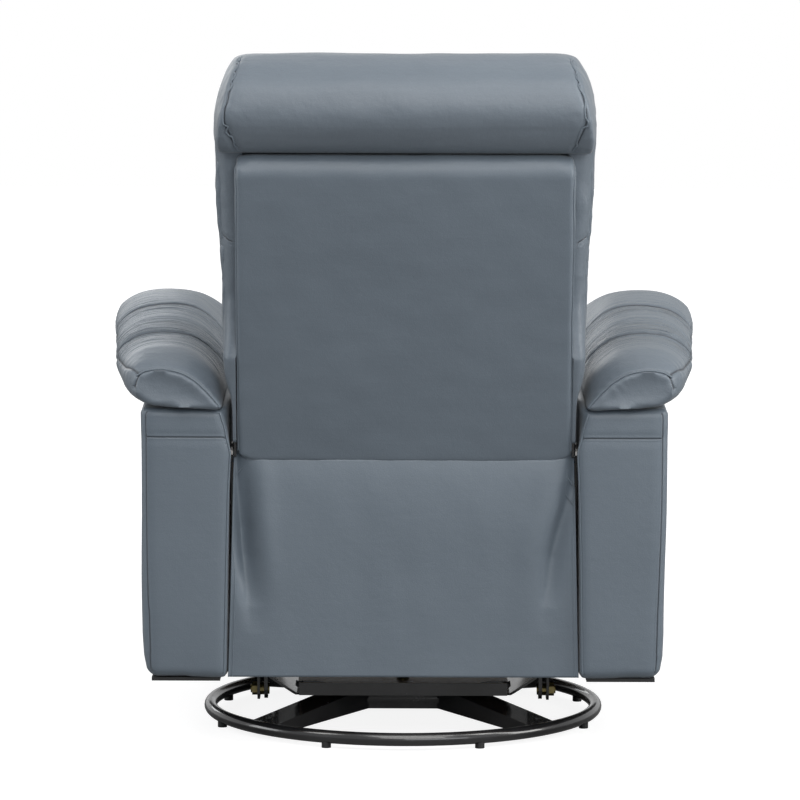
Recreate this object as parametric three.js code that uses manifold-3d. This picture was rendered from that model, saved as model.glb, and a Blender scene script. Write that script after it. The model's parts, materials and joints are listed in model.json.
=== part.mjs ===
import * as THREE from 'three';
import { mergeVertices } from 'three/addons/utils/BufferGeometryUtils.js';
import Module from 'manifold-3d';

// Swivel glider recliner. Millimetres, +Z up, the sitter faces -Y, the origin on the floor on the swivel axis.

// Clearances and overruns
const GAP = 0.3;
const PIVOT_CLEARANCE = 0.3;
const OVERRUN = 2;
const SIDE_GAP = 1;

// Overall sizes
const ARM_INNER = 240;
const ARM_OUTER = 358;
const ARM_FRONT = -330;
const ARM_REAR = 280;
const BODY_BOTTOM = 100;

// How far each piece ends inside the opening between the arms, and how far others reach over the arms
const INSIDE = {
  seat: 5, pad: 5, board: 9, plate: 1.5, rail: 0.5, back: 10.5, flapTop: 9, flapHem: 1.5, box: 32, lumbar: 8,
};
const OVER = { middle: 16, head: 19, pillow: 8, pillowRear: 26, pillowFront: 73 };

// Facets of round pieces
const ROUND = 24;
const SMALL_ROUND = 12;
const HEX = 6;

// Floor ring and its glides
const RING = { radius: 277, tube: 9.2, height: 15.2, around: 72, section: 12 };
const FOOT = { radius: 6.75, top: 9, count: 8, firstShare: 0.5 };

// Spider: a pressed hub with four sloping legs
const SPIDER = {
  hubX: 122, hubY: 84, hubNotch: 30, top: 49, bottom: 23, wall: 3, legs: 4, firstShare: 0.5,
  legWidth: 50, legStart: 96, legInset: 5, endTop: 23, endBottom: 8.2,
  ribX: 62, ribLow: 31, ribHigh: 38, ribDepth: 2,
};

// Swivel bearing and king bolt
const RACE = { inner: 38, outer: 96, beadIn: 60, beadOut: 78, thick: 2.6, bead: 0.8 };
const KING = { radius: 6, low: 16, headRadius: 11, headHeight: 8, nutRadius: 10, nutHeight: 8 };

// Glider pan with upturned ears that carry the hanging links
const PAN = {
  floor: 56.3, wall: 3.5, flatX: 151, endX: 187.5, endZ: 81, half: 165, lowFlange: 98, earTop: 178,
  earHalf: 24, earFoot: 32, lip: 3, lipX: 146, lipTop: 74, windowX: 95, windowRadius: 30,
  boltX: 140, boltRadius: 8, boltHeight: 5,
};
const GLIDE = {
  pivotY: 130, topZ: 165, lowZ: 60, linkRadius: 14, linkInner: 190.5, linkThick: 5, studRadius: 6,
  collarRadius: 9, studHead: 9, studHeadThick: 4.5, boltHead: 8, boltHeadThick: 1.8, nutRadius: 9.5, nutThick: 7.5,
};

// Welded glide frame: two hanging rails under two cross tubes
const FRAME = {
  railInner: 201.5, railThick: 3.5, railLow: 46, railArch: 118,
  tubesY: [-70, 130], tube: 20, tubeWall: 2, tubeLow: 186,
  earHalf: 17, archHalf: 92, waistHalf: 152, waistZ: 110, topHalf: 142, railCorner: 9,
};

// Footrest linkage, closed positions as [y, z]
const LINK = {
  driveA: [-240, 125], armLength: 225, closedAngle: 48, closedPivot: [-298, 235], openPivot: [-575, 385],
  controlPivot: [-208.2, 116.2], controlEnd: [-65.5, 295.7], upperPivot: [-84.5, 306.6], boardPin: [-287.7, 203.8],
  controlShare: 0.9877, upperShare: -1.5405, boardTurn: -90,
  thick: 3, layer: 4, armRadius: 11, linkRadius: 10, controlRadius: 9, lobeRadius: 14,
  slotClearance: 0.5, pin: 5, slotPin: 4, collar: 8, tube: 9.5, tubeStub: 0.7, slotSteps: 8, pinTip: 0.3,
  headThick: 1.7,
};
const PLATE_INNER = ARM_INNER - INSIDE.plate - LINK.thick;

// Mechanism side plates
const PLATE = {
  outline: [
    [-264, 104], [172, 104], [186, 190], [236, 372], [240, 408], [226, 422], [198, 418], [186, 372], [148, 232],
    [-160, 232], [-236, 172], [-264, 152],
  ],
  corner: 9,
};

// Seat box, springs and rear rail
const BOX = {
  outer: ARM_INNER - INSIDE.box, wall: 18, front: -295, rear: 150, low: 206.3, railLow: 300, top: 384,
  archHalf: 105, archTop: 288, archCorner: 26,
};
const SPRING = { wire: 3.6, half: 25, pitch: 23, loops: 19, spacing: 92, rows: 4, overlap: 12 };
const REAR_RAIL = { half: ARM_INNER - INSIDE.rail, front: 244, rear: 267.7, low: 103, high: 150 };

// Arm boxes with a black skid below
const ARM = { rearTop: 472, frontTop: 520, corner: 12 };
const SKID = { inset: 12, thick: 5 };

// Recline pivot and the back, laid out along its lean: t up the back, n to the rear
const RECLINE = { pivot: [215, 400], lean: 13, pin: 6, collar: 9 };
const BACK = { half: ARM_INNER - INSIDE.back, low: 6, high: 433, front: 4, rear: 46, corner: 22 };
const BRACKET = { thick: 3, low: 12, high: 150, front: 6, rear: 42, lobe: 12, corner: 6 };

// Loose flap between the back and the rear rail
const FLAP = { thick: 3, high: 393.5 };

// Soft forms: half sizes, section exponents and facet counts; a pressed form is a little full where it is cut flat
const SIDE = { power: 6, endShare: 0.62, pressedShare: 1.05 };
const SEAT = {
  half: ARM_INNER - INSIDE.seat, front: -305, rear: 90, low: 388.2, high: 474, crown: 5,
  across: 13, around: 20, power: 5,
};
const LUMBAR = {
  half: ARM_INNER - INSIDE.lumbar, low: 15, high: 298, front: -124, across: 13, around: 18, power: 4.5, bulge: 5,
};
const MIDDLE = {
  half: ARM_INNER + OVER.middle, low: 300, high: 426.5, front: -124, across: 11, around: 16, power: 4, bulge: 5,
};
const HEAD = {
  half: ARM_INNER + OVER.head, low: 429, high: 562, front: -122, rear: 58.5,
  across: 13, around: 20, power: 2.8, bulge: 3,
};
const PILLOW = {
  inner: ARM_INNER + OVER.pillow,
  rearOuter: ARM_OUTER + OVER.pillowRear,
  frontOuter: ARM_OUTER + OVER.pillowFront,
  front: -346, rear: 286, rearTop: 541, frontTop: 598,
  channels: [-93, 95], channelDepth: 11, channelWidth: 17, stations: 23, around: 16, power: 3,
  endShare: 0.5, endLength: 46, overhangDrop: 26,
};
const PAD = {
  half: ARM_INNER - INSIDE.pad, low: 115, high: 395, front: -387, rear: -328,
  across: 13, around: 16, power: 4, bulge: 4,
};

// Footrest board and its steel bracket
const BOARD = { half: ARM_INNER - INSIDE.board, thick: 16, low: 122, high: 388, corner: 14 };
const BRACE = {
  face: -311.7, earRear: -262, earLow: 176, earHigh: 262, stripLow: 212, stripHigh: 248, footInner: 188, footLow: 182,
  footHigh: 258, corner: 10,
};

// Release cup and paddle in the sitter's right arm
const CUP = {
  front: -112, rear: 8, low: 330, high: 392, depth: 21, wall: 2.5, rim: 7, rimThick: 1.5,
};
const PADDLE = {
  top: 385.5, bottom: 352, inset: 1.5, thick: 4, side: 1, axisInset: 7, axisZ: 383, barrel: 3.6, pin: 1.6,
};

const wasm = await Module();
wasm.setup();

// Geometry helpers

const WELD = 1e-4;

function solid(geometry) {
  geometry.deleteAttribute('normal');
  geometry.deleteAttribute('uv');
  const merged = mergeVertices(geometry, WELD);
  return new wasm.Manifold(new wasm.Mesh({
    numProp: 3,
    vertProperties: Float32Array.from(merged.attributes.position.array),
    triVerts: Uint32Array.from(merged.index.array),
  }));
}

function toGeometry(manifold) {
  const mesh = manifold.getMesh();
  const geometry = new THREE.BufferGeometry();
  geometry.setAttribute('position', new THREE.BufferAttribute(Float32Array.from(mesh.vertProperties), 3));
  geometry.setIndex(Array.from(mesh.triVerts));
  return geometry;
}

function join(first, ...others) {
  return others.reduce((sum, other) => sum.add(other), first);
}

function block(x0, x1, y0, y1, z0, z1) {
  const geometry = new THREE.BoxGeometry(x1 - x0, y1 - y0, z1 - z0);
  geometry.translate((x0 + x1) / 2, (y0 + y1) / 2, (z0 + z1) / 2);
  return solid(geometry);
}

function circle(a, b, radius, facets = SMALL_ROUND) {
  return Array.from({ length: facets }, (_, i) => {
    const turn = (i + 0.5) / facets * 2 * Math.PI;
    return [a + radius * Math.cos(turn), b + radius * Math.sin(turn)];
  });
}

function capsule(from, to, radius, steps = 6) {
  const heading = Math.atan2(to[1] - from[1], to[0] - from[0]);
  const half = (centre, start) => Array.from({ length: steps + 1 }, (_, i) => {
    const turn = start + i / steps * Math.PI;
    return [centre[0] + radius * Math.cos(turn), centre[1] + radius * Math.sin(turn)];
  });
  return [...half(to, heading - Math.PI / 2), ...half(from, heading + Math.PI / 2)];
}

function rounded(points, radius, steps = 3) {
  const out = [];
  points.forEach((corner, i) => {
    const before = points[(i + points.length - 1) % points.length];
    const after = points[(i + 1) % points.length];
    const reach = (other) => {
      const d = [other[0] - corner[0], other[1] - corner[1]];
      const length = Math.hypot(...d);
      const share = Math.min(radius, length / 2.2) / length;
      return [corner[0] + d[0] * share, corner[1] + d[1] * share];
    };
    const start = reach(before);
    const end = reach(after);
    for (let k = 0; k <= steps; k += 1) {
      const s = k / steps;
      out.push([0, 1].map((c) => (1 - s) ** 2 * start[c] + 2 * s * (1 - s) * corner[c] + s ** 2 * end[c]));
    }
  });
  return out;
}

// An outline drawn across one axis and extruded along it: [y, z] along x, [x, z] along y, [x, y] along z.
function prism(axis, outline, from, to) {
  const shape = new THREE.Shape(outline.map(([a, b]) => new THREE.Vector2(a, b)));
  const geometry = new THREE.ExtrudeGeometry(shape, { depth: to - from, bevelEnabled: false });
  const turn = new THREE.Matrix4();
  if (axis === 'x') {
    turn.makeBasis(new THREE.Vector3(0, 1, 0), new THREE.Vector3(0, 0, 1), new THREE.Vector3(1, 0, 0));
    geometry.applyMatrix4(turn);
    geometry.translate(from, 0, 0);
  } else if (axis === 'y') {
    turn.makeBasis(new THREE.Vector3(1, 0, 0), new THREE.Vector3(0, 0, 1), new THREE.Vector3(0, -1, 0));
    geometry.applyMatrix4(turn);
    geometry.translate(0, to, 0);
  } else {
    geometry.translate(0, 0, from);
  }
  return solid(geometry);
}

function rod(axis, centre, radius, from, to, facets = SMALL_ROUND) {
  return prism(axis, circle(centre[0], centre[1], radius, facets), from, to);
}

// A closed form through rings of points, with a fan at each end.
function loft(rings) {
  const count = rings[0].length;
  const positions = rings.flat(2);
  const index = [];
  for (let i = 0; i + 1 < rings.length; i += 1) {
    for (let j = 0; j < count; j += 1) {
      const a = i * count + j;
      const b = i * count + (j + 1) % count;
      index.push(a, b, b + count, a, b + count, a + count);
    }
  }
  [0, rings.length - 1].forEach((i) => {
    const centre = [0, 1, 2].map((c) => rings[i].reduce((sum, p) => sum + p[c], 0) / count);
    const middle = positions.length / 3;
    positions.push(...centre);
    for (let j = 0; j < count; j += 1) {
      const a = i * count + j;
      const b = i * count + (j + 1) % count;
      index.push(...(i === 0 ? [middle, b, a] : [middle, a, b]));
    }
  });
  const geometry = new THREE.BufferGeometry();
  geometry.setAttribute('position', new THREE.Float32BufferAttribute(positions, 3));
  geometry.setIndex(index);
  const form = solid(geometry);
  return form.volume() < 0 ? solid(flipped(geometry)) : form;
}

function flipped(geometry) {
  const copy = geometry.clone();
  copy.setIndex(Array.from(copy.index.array).reverse());
  return copy;
}

function mirrored(geometry) {
  const copy = geometry.clone();
  copy.scale(-1, 1, 1);
  return flipped(copy);
}

// A point of a squared-off ellipse.
function squircle(turn, a, b, power) {
  const squared = (v) => Math.sign(v) * Math.abs(v) ** (2 / power);
  return [a * squared(Math.cos(turn)), b * squared(Math.sin(turn))];
}

// Shares that lie close together near both ends.
function eased(i, count) {
  return -Math.cos(i / (count - 1) * Math.PI);
}

function turned(point, centre, degrees) {
  const angle = THREE.MathUtils.degToRad(degrees);
  const d = [point[0] - centre[0], point[1] - centre[1]];
  return [
    centre[0] + d[0] * Math.cos(angle) - d[1] * Math.sin(angle),
    centre[1] + d[0] * Math.sin(angle) + d[1] * Math.cos(angle),
  ];
}

function distance(a, b) {
  return Math.hypot(a[0] - b[0], a[1] - b[1]);
}

function heading(from, to) {
  const degrees = THREE.MathUtils.radToDeg(Math.atan2(to[1] - from[1], to[0] - from[0]));
  return degrees < 0 ? degrees + 360 : degrees;
}

// The back's own frame, carried to the chair's.
function leaned([t, n]) {
  const lean = THREE.MathUtils.degToRad(RECLINE.lean);
  return [
    RECLINE.pivot[0] + t * Math.sin(lean) + n * Math.cos(lean),
    RECLINE.pivot[1] + t * Math.cos(lean) - n * Math.sin(lean),
  ];
}

function leanedForm(manifold) {
  const geometry = toGeometry(manifold);
  const position = geometry.attributes.position;
  for (let i = 0; i < position.count; i += 1) {
    const [y, z] = leaned([position.getZ(i), position.getY(i)]);
    position.setXYZ(i, position.getX(i), y, z);
  }
  return geometry;
}

// Linkage positions for a share of the footrest's travel

const elbow = turned([LINK.driveA[0] + LINK.armLength, LINK.driveA[1]], LINK.driveA, LINK.closedAngle);
const outerLength = distance(elbow, LINK.closedPivot);
const span = distance(LINK.driveA, LINK.openPivot);
const openAngle = heading(LINK.driveA, LINK.openPivot) - THREE.MathUtils.radToDeg(
  Math.acos((LINK.armLength ** 2 + span ** 2 - outerLength ** 2) / (2 * LINK.armLength * span)),
);
const armTurn = openAngle - LINK.closedAngle;
const openElbow = turned(elbow, LINK.driveA, armTurn);
const outerTurn = heading(openElbow, LINK.openPivot) - heading(elbow, LINK.closedPivot);

function onArm(point, share) {
  return turned(point, LINK.driveA, armTurn * share);
}

function onOuter(point, share) {
  const moved = onArm(elbow, share);
  const offset = turned(point, elbow, outerTurn * share);
  return [offset[0] - elbow[0] + moved[0], offset[1] - elbow[1] + moved[1]];
}

function offBoard(point, share) {
  const moved = onOuter(LINK.closedPivot, share);
  const back = turned(point, moved, -LINK.boardTurn * share);
  return [back[0] - moved[0] + LINK.closedPivot[0], back[1] - moved[1] + LINK.closedPivot[1]];
}

function onUpper(point, share) {
  const moved = onArm(LINK.upperPivot, share);
  const offset = turned(point, LINK.upperPivot, armTurn * (1 + LINK.upperShare) * share);
  return [offset[0] - LINK.upperPivot[0] + moved[0], offset[1] - LINK.upperPivot[1] + moved[1]];
}

const shares = Array.from({ length: LINK.slotSteps + 1 }, (_, i) => i / LINK.slotSteps);
const boardSlot = shares.map((share) => offBoard(onUpper(LINK.boardPin, share), share));
const controlSlot = shares.map((share) => turned(
  onOuter(LINK.controlEnd, share), LINK.controlPivot, -armTurn * LINK.controlShare * share,
));

function slot(path, from, to) {
  const radius = LINK.slotPin + LINK.slotClearance;
  const cuts = path.slice(1).map((point, i) => prism('x', capsule(path[i], point, radius, 4), from, to));
  return join(...cuts);
}

// Layers of the linkage, counted inward from the side plate
function layer(number) {
  const outer = PLATE_INNER - number * LINK.layer + LINK.layer - SIDE_GAP;
  return [outer - LINK.thick, outer];
}

// Materials

const painted = () => new THREE.MeshStandardMaterial({ color: 0x17181a, roughness: 0.38, metalness: 0.6 });
const zinc = () => new THREE.MeshStandardMaterial({ color: 0xb59a55, roughness: 0.32, metalness: 1 });
const steel = () => new THREE.MeshStandardMaterial({ color: 0x8a8c8e, roughness: 0.4, metalness: 1 });
const plastic = () => new THREE.MeshStandardMaterial({ color: 0x141415, roughness: 0.5, metalness: 0 });
const wood = () => new THREE.MeshStandardMaterial({ color: 0xb08d62, roughness: 0.75, metalness: 0 });
const leather = () => new THREE.MeshStandardMaterial({ color: 0x5f6b76, roughness: 0.46, metalness: 0 });

const chair = new THREE.Group();
chair.name = 'swivel_glider_recliner';

function add(name, form, material) {
  const geometry = form.isBufferGeometry ? form : toGeometry(form);
  const mesh = new THREE.Mesh(geometry, material);
  mesh.name = name;
  chair.add(mesh);
}

function addPair(name, form, material) {
  const geometry = form.isBufferGeometry ? form : toGeometry(form);
  add(`${name}_left`, geometry, material());
  add(`${name}_right`, mirrored(geometry), material());
}

// Floor ring

function ringTube(tube) {
  const geometry = new THREE.TorusGeometry(RING.radius, tube, RING.section, RING.around);
  geometry.translate(0, 0, RING.height);
  return solid(geometry);
}

add('base_ring', ringTube(RING.tube), painted());

// Foot glides, saddled to the tube

function footGlide(index) {
  const turn = (index + FOOT.firstShare) / FOOT.count * 2 * Math.PI;
  const centre = [RING.radius * Math.cos(turn), RING.radius * Math.sin(turn)];
  return rod('z', centre, FOOT.radius, 0, FOOT.top).subtract(ringTube(RING.tube + GAP));
}

for (let i = 0; i < FOOT.count; i += 1) {
  add(`foot_glide_${i + 1}`, footGlide(i), plastic());
}

// Spider

function spiderLeg(width, shrink) {
  const end = RING.radius - SPIDER.legInset - shrink;
  const under = OVERRUN * shrink / SPIDER.wall;
  const side = [
    [0, SPIDER.bottom - under],
    [SPIDER.legStart, SPIDER.bottom - under],
    [end, SPIDER.endBottom - under],
    [end, SPIDER.endTop - shrink],
    [SPIDER.hubX, SPIDER.top - shrink],
    [0, SPIDER.top - shrink],
  ];
  const geometry = toGeometry(prism('y', side, -width / 2, width / 2));
  const legs = Array.from({ length: SPIDER.legs }, (_, i) => {
    const copy = geometry.clone();
    copy.rotateZ((i + SPIDER.firstShare) / SPIDER.legs * 2 * Math.PI);
    return solid(copy);
  });
  return join(...legs);
}

function hubOutline(shrink) {
  const x = SPIDER.hubX - shrink;
  const y = SPIDER.hubY - shrink;
  const notch = SPIDER.hubNotch;
  return [
    [x - notch, -y], [x, notch - y], [x, y - notch], [x - notch, y], [notch - x, y], [-x, y - notch], [-x, notch - y],
    [notch - x, -y],
  ];
}

function spider() {
  const skin = SPIDER.wall;
  const outer = join(
    prism('z', hubOutline(0), SPIDER.bottom, SPIDER.top),
    spiderLeg(SPIDER.legWidth, 0),
    block(-SPIDER.ribX, SPIDER.ribX, -SPIDER.hubY - SPIDER.ribDepth, SPIDER.hubY + SPIDER.ribDepth,
      SPIDER.ribLow, SPIDER.ribHigh),
  );
  return outer
    .subtract(prism('z', hubOutline(skin), SPIDER.bottom - OVERRUN, SPIDER.top - skin))
    .subtract(spiderLeg(SPIDER.legWidth - 2 * skin, skin))
    .subtract(ringTube(RING.tube + GAP))
    .subtract(rod('z', [0, 0], KING.radius + PIVOT_CLEARANCE, 0, SPIDER.top + OVERRUN));
}

add('base_spider', spider(), painted());

// Bearing races and king bolt

function race(low, beadUp) {
  const high = low + RACE.thick;
  const face = beadUp ? high : low;
  const back = beadUp ? low : high;
  const bead = face + (beadUp ? -RACE.bead : RACE.bead);
  const profile = [
    [RACE.inner, back], [RACE.outer, back], [RACE.outer, face], [RACE.beadOut, face],
    [RACE.beadIn + (RACE.beadOut - RACE.beadIn) / 2, bead], [RACE.beadIn, face], [RACE.inner, face],
    [RACE.inner, back],
  ].map(([r, z]) => new THREE.Vector2(r, z));
  const geometry = new THREE.LatheGeometry(beadUp ? profile : profile.reverse(), ROUND + SMALL_ROUND);
  geometry.rotateX(Math.PI / 2);
  const form = solid(geometry);
  return form.volume() < 0 ? solid(flipped(geometry)) : form;
}

const lowerRace = SPIDER.top + GAP;
const upperRace = PAN.floor - GAP - RACE.thick;
add('bearing_race_lower', race(lowerRace, true), steel());
add('bearing_race_upper', race(upperRace, false), steel());

function kingBolt() {
  const plateTop = PAN.floor + PAN.wall + GAP;
  const hubUnder = SPIDER.top - SPIDER.wall - GAP;
  return join(
    rod('z', [0, 0], KING.radius, KING.low, plateTop + KING.nutHeight + OVERRUN),
    rod('z', [0, 0], KING.headRadius, hubUnder - KING.headHeight, hubUnder, HEX),
    rod('z', [0, 0], KING.nutRadius, plateTop, plateTop + KING.nutHeight, HEX),
  );
}

add('king_bolt', kingBolt(), zinc());

// Glider pan

function gliderPan() {
  const half = [
    [PAN.endX, PAN.earTop], [PAN.endX, PAN.endZ], [PAN.flatX, PAN.floor],
  ];
  const inner = [
    [PAN.flatX - PAN.wall / 2, PAN.floor + PAN.wall], [PAN.endX - PAN.wall, PAN.endZ + PAN.wall / 2],
    [PAN.endX - PAN.wall, PAN.earTop],
  ];
  const mirrorX = ([x, z]) => [-x, z];
  const section = [...half, ...half.map(mirrorX).reverse(), ...inner.map(mirrorX).reverse(), ...inner];
  const ear = (side) => [
    [GLIDE.pivotY - side * PAN.earFoot, PAN.lowFlange], [GLIDE.pivotY - side * PAN.earHalf, PAN.earTop],
  ];
  const flank = [
    [PAN.half, PAN.floor - OVERRUN], [PAN.half, PAN.lowFlange], ...ear(-1).slice(1), ...ear(1).reverse(),
  ];
  const profile = [...flank, ...flank.map(([y, z]) => [-y, z]).reverse()];
  let pan = prism('y', section, -PAN.half, PAN.half)
    .intersect(prism('x', rounded(profile, PAN.earHalf / 2), -PAN.endX - OVERRUN, PAN.endX + OVERRUN));
  [-1, 1].forEach((end) => {
    const face = end * PAN.half;
    const back = end * (PAN.half - PAN.lip);
    pan = pan.add(block(-PAN.lipX, PAN.lipX, Math.min(face, back), Math.max(face, back), PAN.floor, PAN.lipTop));
  });
  const cutLow = PAN.floor - OVERRUN;
  const cutHigh = PAN.floor + PAN.wall + OVERRUN;
  pan = pan.subtract(rod('z', [0, 0], KING.radius + PIVOT_CLEARANCE, cutLow, cutHigh));
  [-1, 1].forEach((side) => {
    pan = pan
      .subtract(rod('z', [side * PAN.windowX * Math.SQRT2, PAN.windowX], PAN.windowRadius, cutLow, cutHigh))
      .subtract(rod('z', [side * PAN.windowX * Math.SQRT2, -PAN.windowX], PAN.windowRadius, cutLow, cutHigh))
      .add(rod('z', [side * PAN.boltX, 0], PAN.boltRadius, PAN.floor - PAN.boltHeight, PAN.floor + PAN.wall / 2, HEX));
    [-1, 1].forEach((end) => {
      const centre = [end * GLIDE.pivotY, GLIDE.topZ];
      const root = PAN.endX - PAN.wall / 2;
      const tip = GLIDE.linkInner + GLIDE.linkThick + GAP;
      pan = pan
        .add(sideRod(side, centre, GLIDE.collarRadius, root, GLIDE.linkInner - GAP))
        .add(sideRod(side, centre, GLIDE.studRadius, root, tip + GLIDE.studHeadThick))
        .add(sideRod(side, centre, GLIDE.studHead, tip, tip + GLIDE.studHeadThick));
    });
  });
  return pan;
}

function sideRod(side, centre, radius, inner, outer, facets = SMALL_ROUND) {
  return side > 0 ? rod('x', centre, radius, inner, outer, facets) : rod('x', centre, radius, -outer, -inner, facets);
}

add('glider_pan', gliderPan(), painted());

// Hanging glide links and their lower pivot bolts

function glideLink(end) {
  const top = [end * GLIDE.pivotY, GLIDE.topZ];
  const low = [end * GLIDE.pivotY, GLIDE.lowZ];
  const inner = GLIDE.linkInner;
  const outer = inner + GLIDE.linkThick;
  const hole = GLIDE.studRadius + PIVOT_CLEARANCE;
  return prism('x', capsule(low, top, GLIDE.linkRadius), inner, outer)
    .subtract(rod('x', top, hole, inner - OVERRUN, outer + OVERRUN))
    .subtract(rod('x', low, hole, inner - OVERRUN, outer + OVERRUN));
}

function pivotBolt(end) {
  const centre = [end * GLIDE.pivotY, GLIDE.lowZ];
  const head = GLIDE.linkInner - GAP;
  const collar = GLIDE.linkInner + GLIDE.linkThick + GAP;
  const nut = FRAME.railInner + FRAME.railThick + GAP;
  return join(
    rod('x', centre, GLIDE.studRadius, head - GLIDE.boltHeadThick, nut + GLIDE.nutThick + OVERRUN),
    rod('x', centre, GLIDE.boltHead, head - GLIDE.boltHeadThick, head),
    rod('x', centre, GLIDE.collarRadius, collar, FRAME.railInner - GAP),
    rod('x', centre, GLIDE.nutRadius, nut, nut + GLIDE.nutThick, HEX),
  );
}

[['front', -1], ['rear', 1]].forEach(([name, end]) => {
  addPair(`glide_link_${name}`, glideLink(end), painted);
  addPair(`pivot_bolt_${name}`, pivotBolt(end), zinc);
});

// Glide frame

function glideFrame() {
  const ears = [
    [GLIDE.pivotY - FRAME.earHalf, FRAME.railLow], [GLIDE.pivotY + FRAME.earHalf, FRAME.railLow],
    [FRAME.waistHalf, FRAME.waistZ], [FRAME.topHalf, FRAME.tubeLow + FRAME.tubeWall],
  ];
  const outline = [
    [FRAME.archHalf, FRAME.railArch], ...ears, ...ears.map(([y, z]) => [-y, z]).reverse(),
    [-FRAME.archHalf, FRAME.railArch],
  ];
  const hole = GLIDE.studRadius + PIVOT_CLEARANCE;
  const railOuter = FRAME.railInner + FRAME.railThick;
  const tubeEnd = PLATE_INNER - GAP;
  const tubes = FRAME.tubesY.map((y) => {
    const reach = FRAME.tube / 2;
    const bore = reach - FRAME.tubeWall;
    return block(-tubeEnd, tubeEnd, y - reach, y + reach, FRAME.tubeLow, FRAME.tubeLow + FRAME.tube)
      .subtract(block(-tubeEnd - OVERRUN, tubeEnd + OVERRUN, y - bore, y + bore,
        FRAME.tubeLow + FRAME.tubeWall, FRAME.tubeLow + FRAME.tube - FRAME.tubeWall));
  });
  let frame = join(...tubes);
  [-1, 1].forEach((side) => {
    let rail = prism('x', rounded(outline, FRAME.railCorner),
      side > 0 ? FRAME.railInner : -railOuter, side > 0 ? railOuter : -FRAME.railInner);
    [-1, 1].forEach((end) => {
      const centre = [end * GLIDE.pivotY, GLIDE.lowZ];
      rail = rail.subtract(sideRod(side, centre, hole, FRAME.railInner - OVERRUN, railOuter + OVERRUN));
    });
    frame = frame.add(rail);
  });
  return frame;
}

add('glide_frame', glideFrame(), painted());

// Mechanism side plates with the studs that the footrest and the back turn on

function sidePlate() {
  const inner = PLATE_INNER;
  const outer = inner + LINK.thick;
  const [controlInner, controlOuter] = layer(4);
  const bracketOuter = BACK.half + GAP + BRACKET.thick;
  return prism('x', rounded(PLATE.outline, PLATE.corner), inner, outer)
    .subtract(rod('x', LINK.driveA, LINK.tube + PIVOT_CLEARANCE, inner - OVERRUN, outer + OVERRUN, ROUND))
    .add(rod('x', LINK.controlPivot, LINK.pin, controlInner - GAP - LINK.headThick, inner + GAP))
    .add(rod('x', LINK.controlPivot, LINK.collar, controlOuter + GAP, inner + GAP))
    .add(rod('x', LINK.controlPivot, LINK.collar, controlInner - GAP - LINK.headThick, controlInner - GAP))
    .add(rod('x', RECLINE.pivot, RECLINE.pin, bracketOuter - BRACKET.thick, inner + GAP))
    .add(rod('x', RECLINE.pivot, RECLINE.collar, bracketOuter + GAP, inner + GAP));
}

addPair('side_plate', sidePlate(), painted);

// Footrest drive: both driven arms on one torque tube

function footrestDrive() {
  const [inner, outer] = layer(2);
  const [outerLinkInner] = layer(3);
  const [, upperOuter] = layer(1);
  const tubeEnd = PLATE_INNER + LINK.thick + LINK.tubeStub;
  let drive = rod('x', LINK.driveA, LINK.tube, -tubeEnd, tubeEnd, ROUND);
  [-1, 1].forEach((side) => {
    const plate = (path, radius) => prism('x', capsule(...path, radius),
      side > 0 ? inner : -outer, side > 0 ? outer : -inner);
    drive = join(
      drive,
      plate([LINK.driveA, elbow], LINK.armRadius),
      plate([elbow, LINK.upperPivot], LINK.controlRadius),
      sideRod(side, LINK.driveA, LINK.lobeRadius, inner, outer, ROUND),
      sideRod(side, elbow, LINK.pin, outerLinkInner, outer - GAP),
      sideRod(side, LINK.upperPivot, LINK.pin, inner + GAP, upperOuter + LINK.pinTip),
    );
  });
  return drive;
}

add('footrest_drive', footrestDrive(), painted());

// Outer footrest links

function outerLink() {
  const [inner, outer] = layer(3);
  const [bracketInner] = layer(4);
  return prism('x', capsule(elbow, LINK.closedPivot, LINK.linkRadius), inner, outer)
    .add(prism('x', capsule(elbow, LINK.controlEnd, LINK.linkRadius), inner, outer))
    .subtract(rod('x', elbow, LINK.pin + PIVOT_CLEARANCE, inner - OVERRUN, outer + OVERRUN))
    .add(rod('x', LINK.closedPivot, LINK.pin, bracketInner - LINK.pinTip, outer - GAP))
    .add(rod('x', LINK.controlEnd, LINK.slotPin, bracketInner - LINK.pinTip, outer - GAP));
}

addPair('footrest_outer_link', outerLink(), painted);

// Rear control links, slotted at the end that follows the outer link

function rearControl() {
  const [inner, outer] = layer(4);
  return prism('x', capsule(LINK.controlPivot, LINK.controlEnd, LINK.controlRadius), inner, outer)
    .add(rod('x', LINK.controlEnd, LINK.lobeRadius, inner, outer, ROUND))
    .subtract(rod('x', LINK.controlPivot, LINK.pin + PIVOT_CLEARANCE, inner - OVERRUN, outer + OVERRUN))
    .subtract(slot(controlSlot, inner - OVERRUN, outer + OVERRUN));
}

addPair('footrest_rear_control', rearControl(), painted);

// Board control links, with a pin that rides in the bracket's slot

function boardControl() {
  const [inner, outer] = layer(1);
  const [bracketInner] = layer(4);
  return prism('x', capsule(LINK.upperPivot, LINK.boardPin, LINK.controlRadius), inner, outer)
    .subtract(rod('x', LINK.upperPivot, LINK.pin + PIVOT_CLEARANCE, inner - OVERRUN, outer + OVERRUN))
    .add(rod('x', LINK.boardPin, LINK.slotPin, bracketInner - LINK.pinTip, outer - GAP));
}

addPair('footrest_board_control', boardControl(), painted);

// Footrest bracket, board and pad

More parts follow.
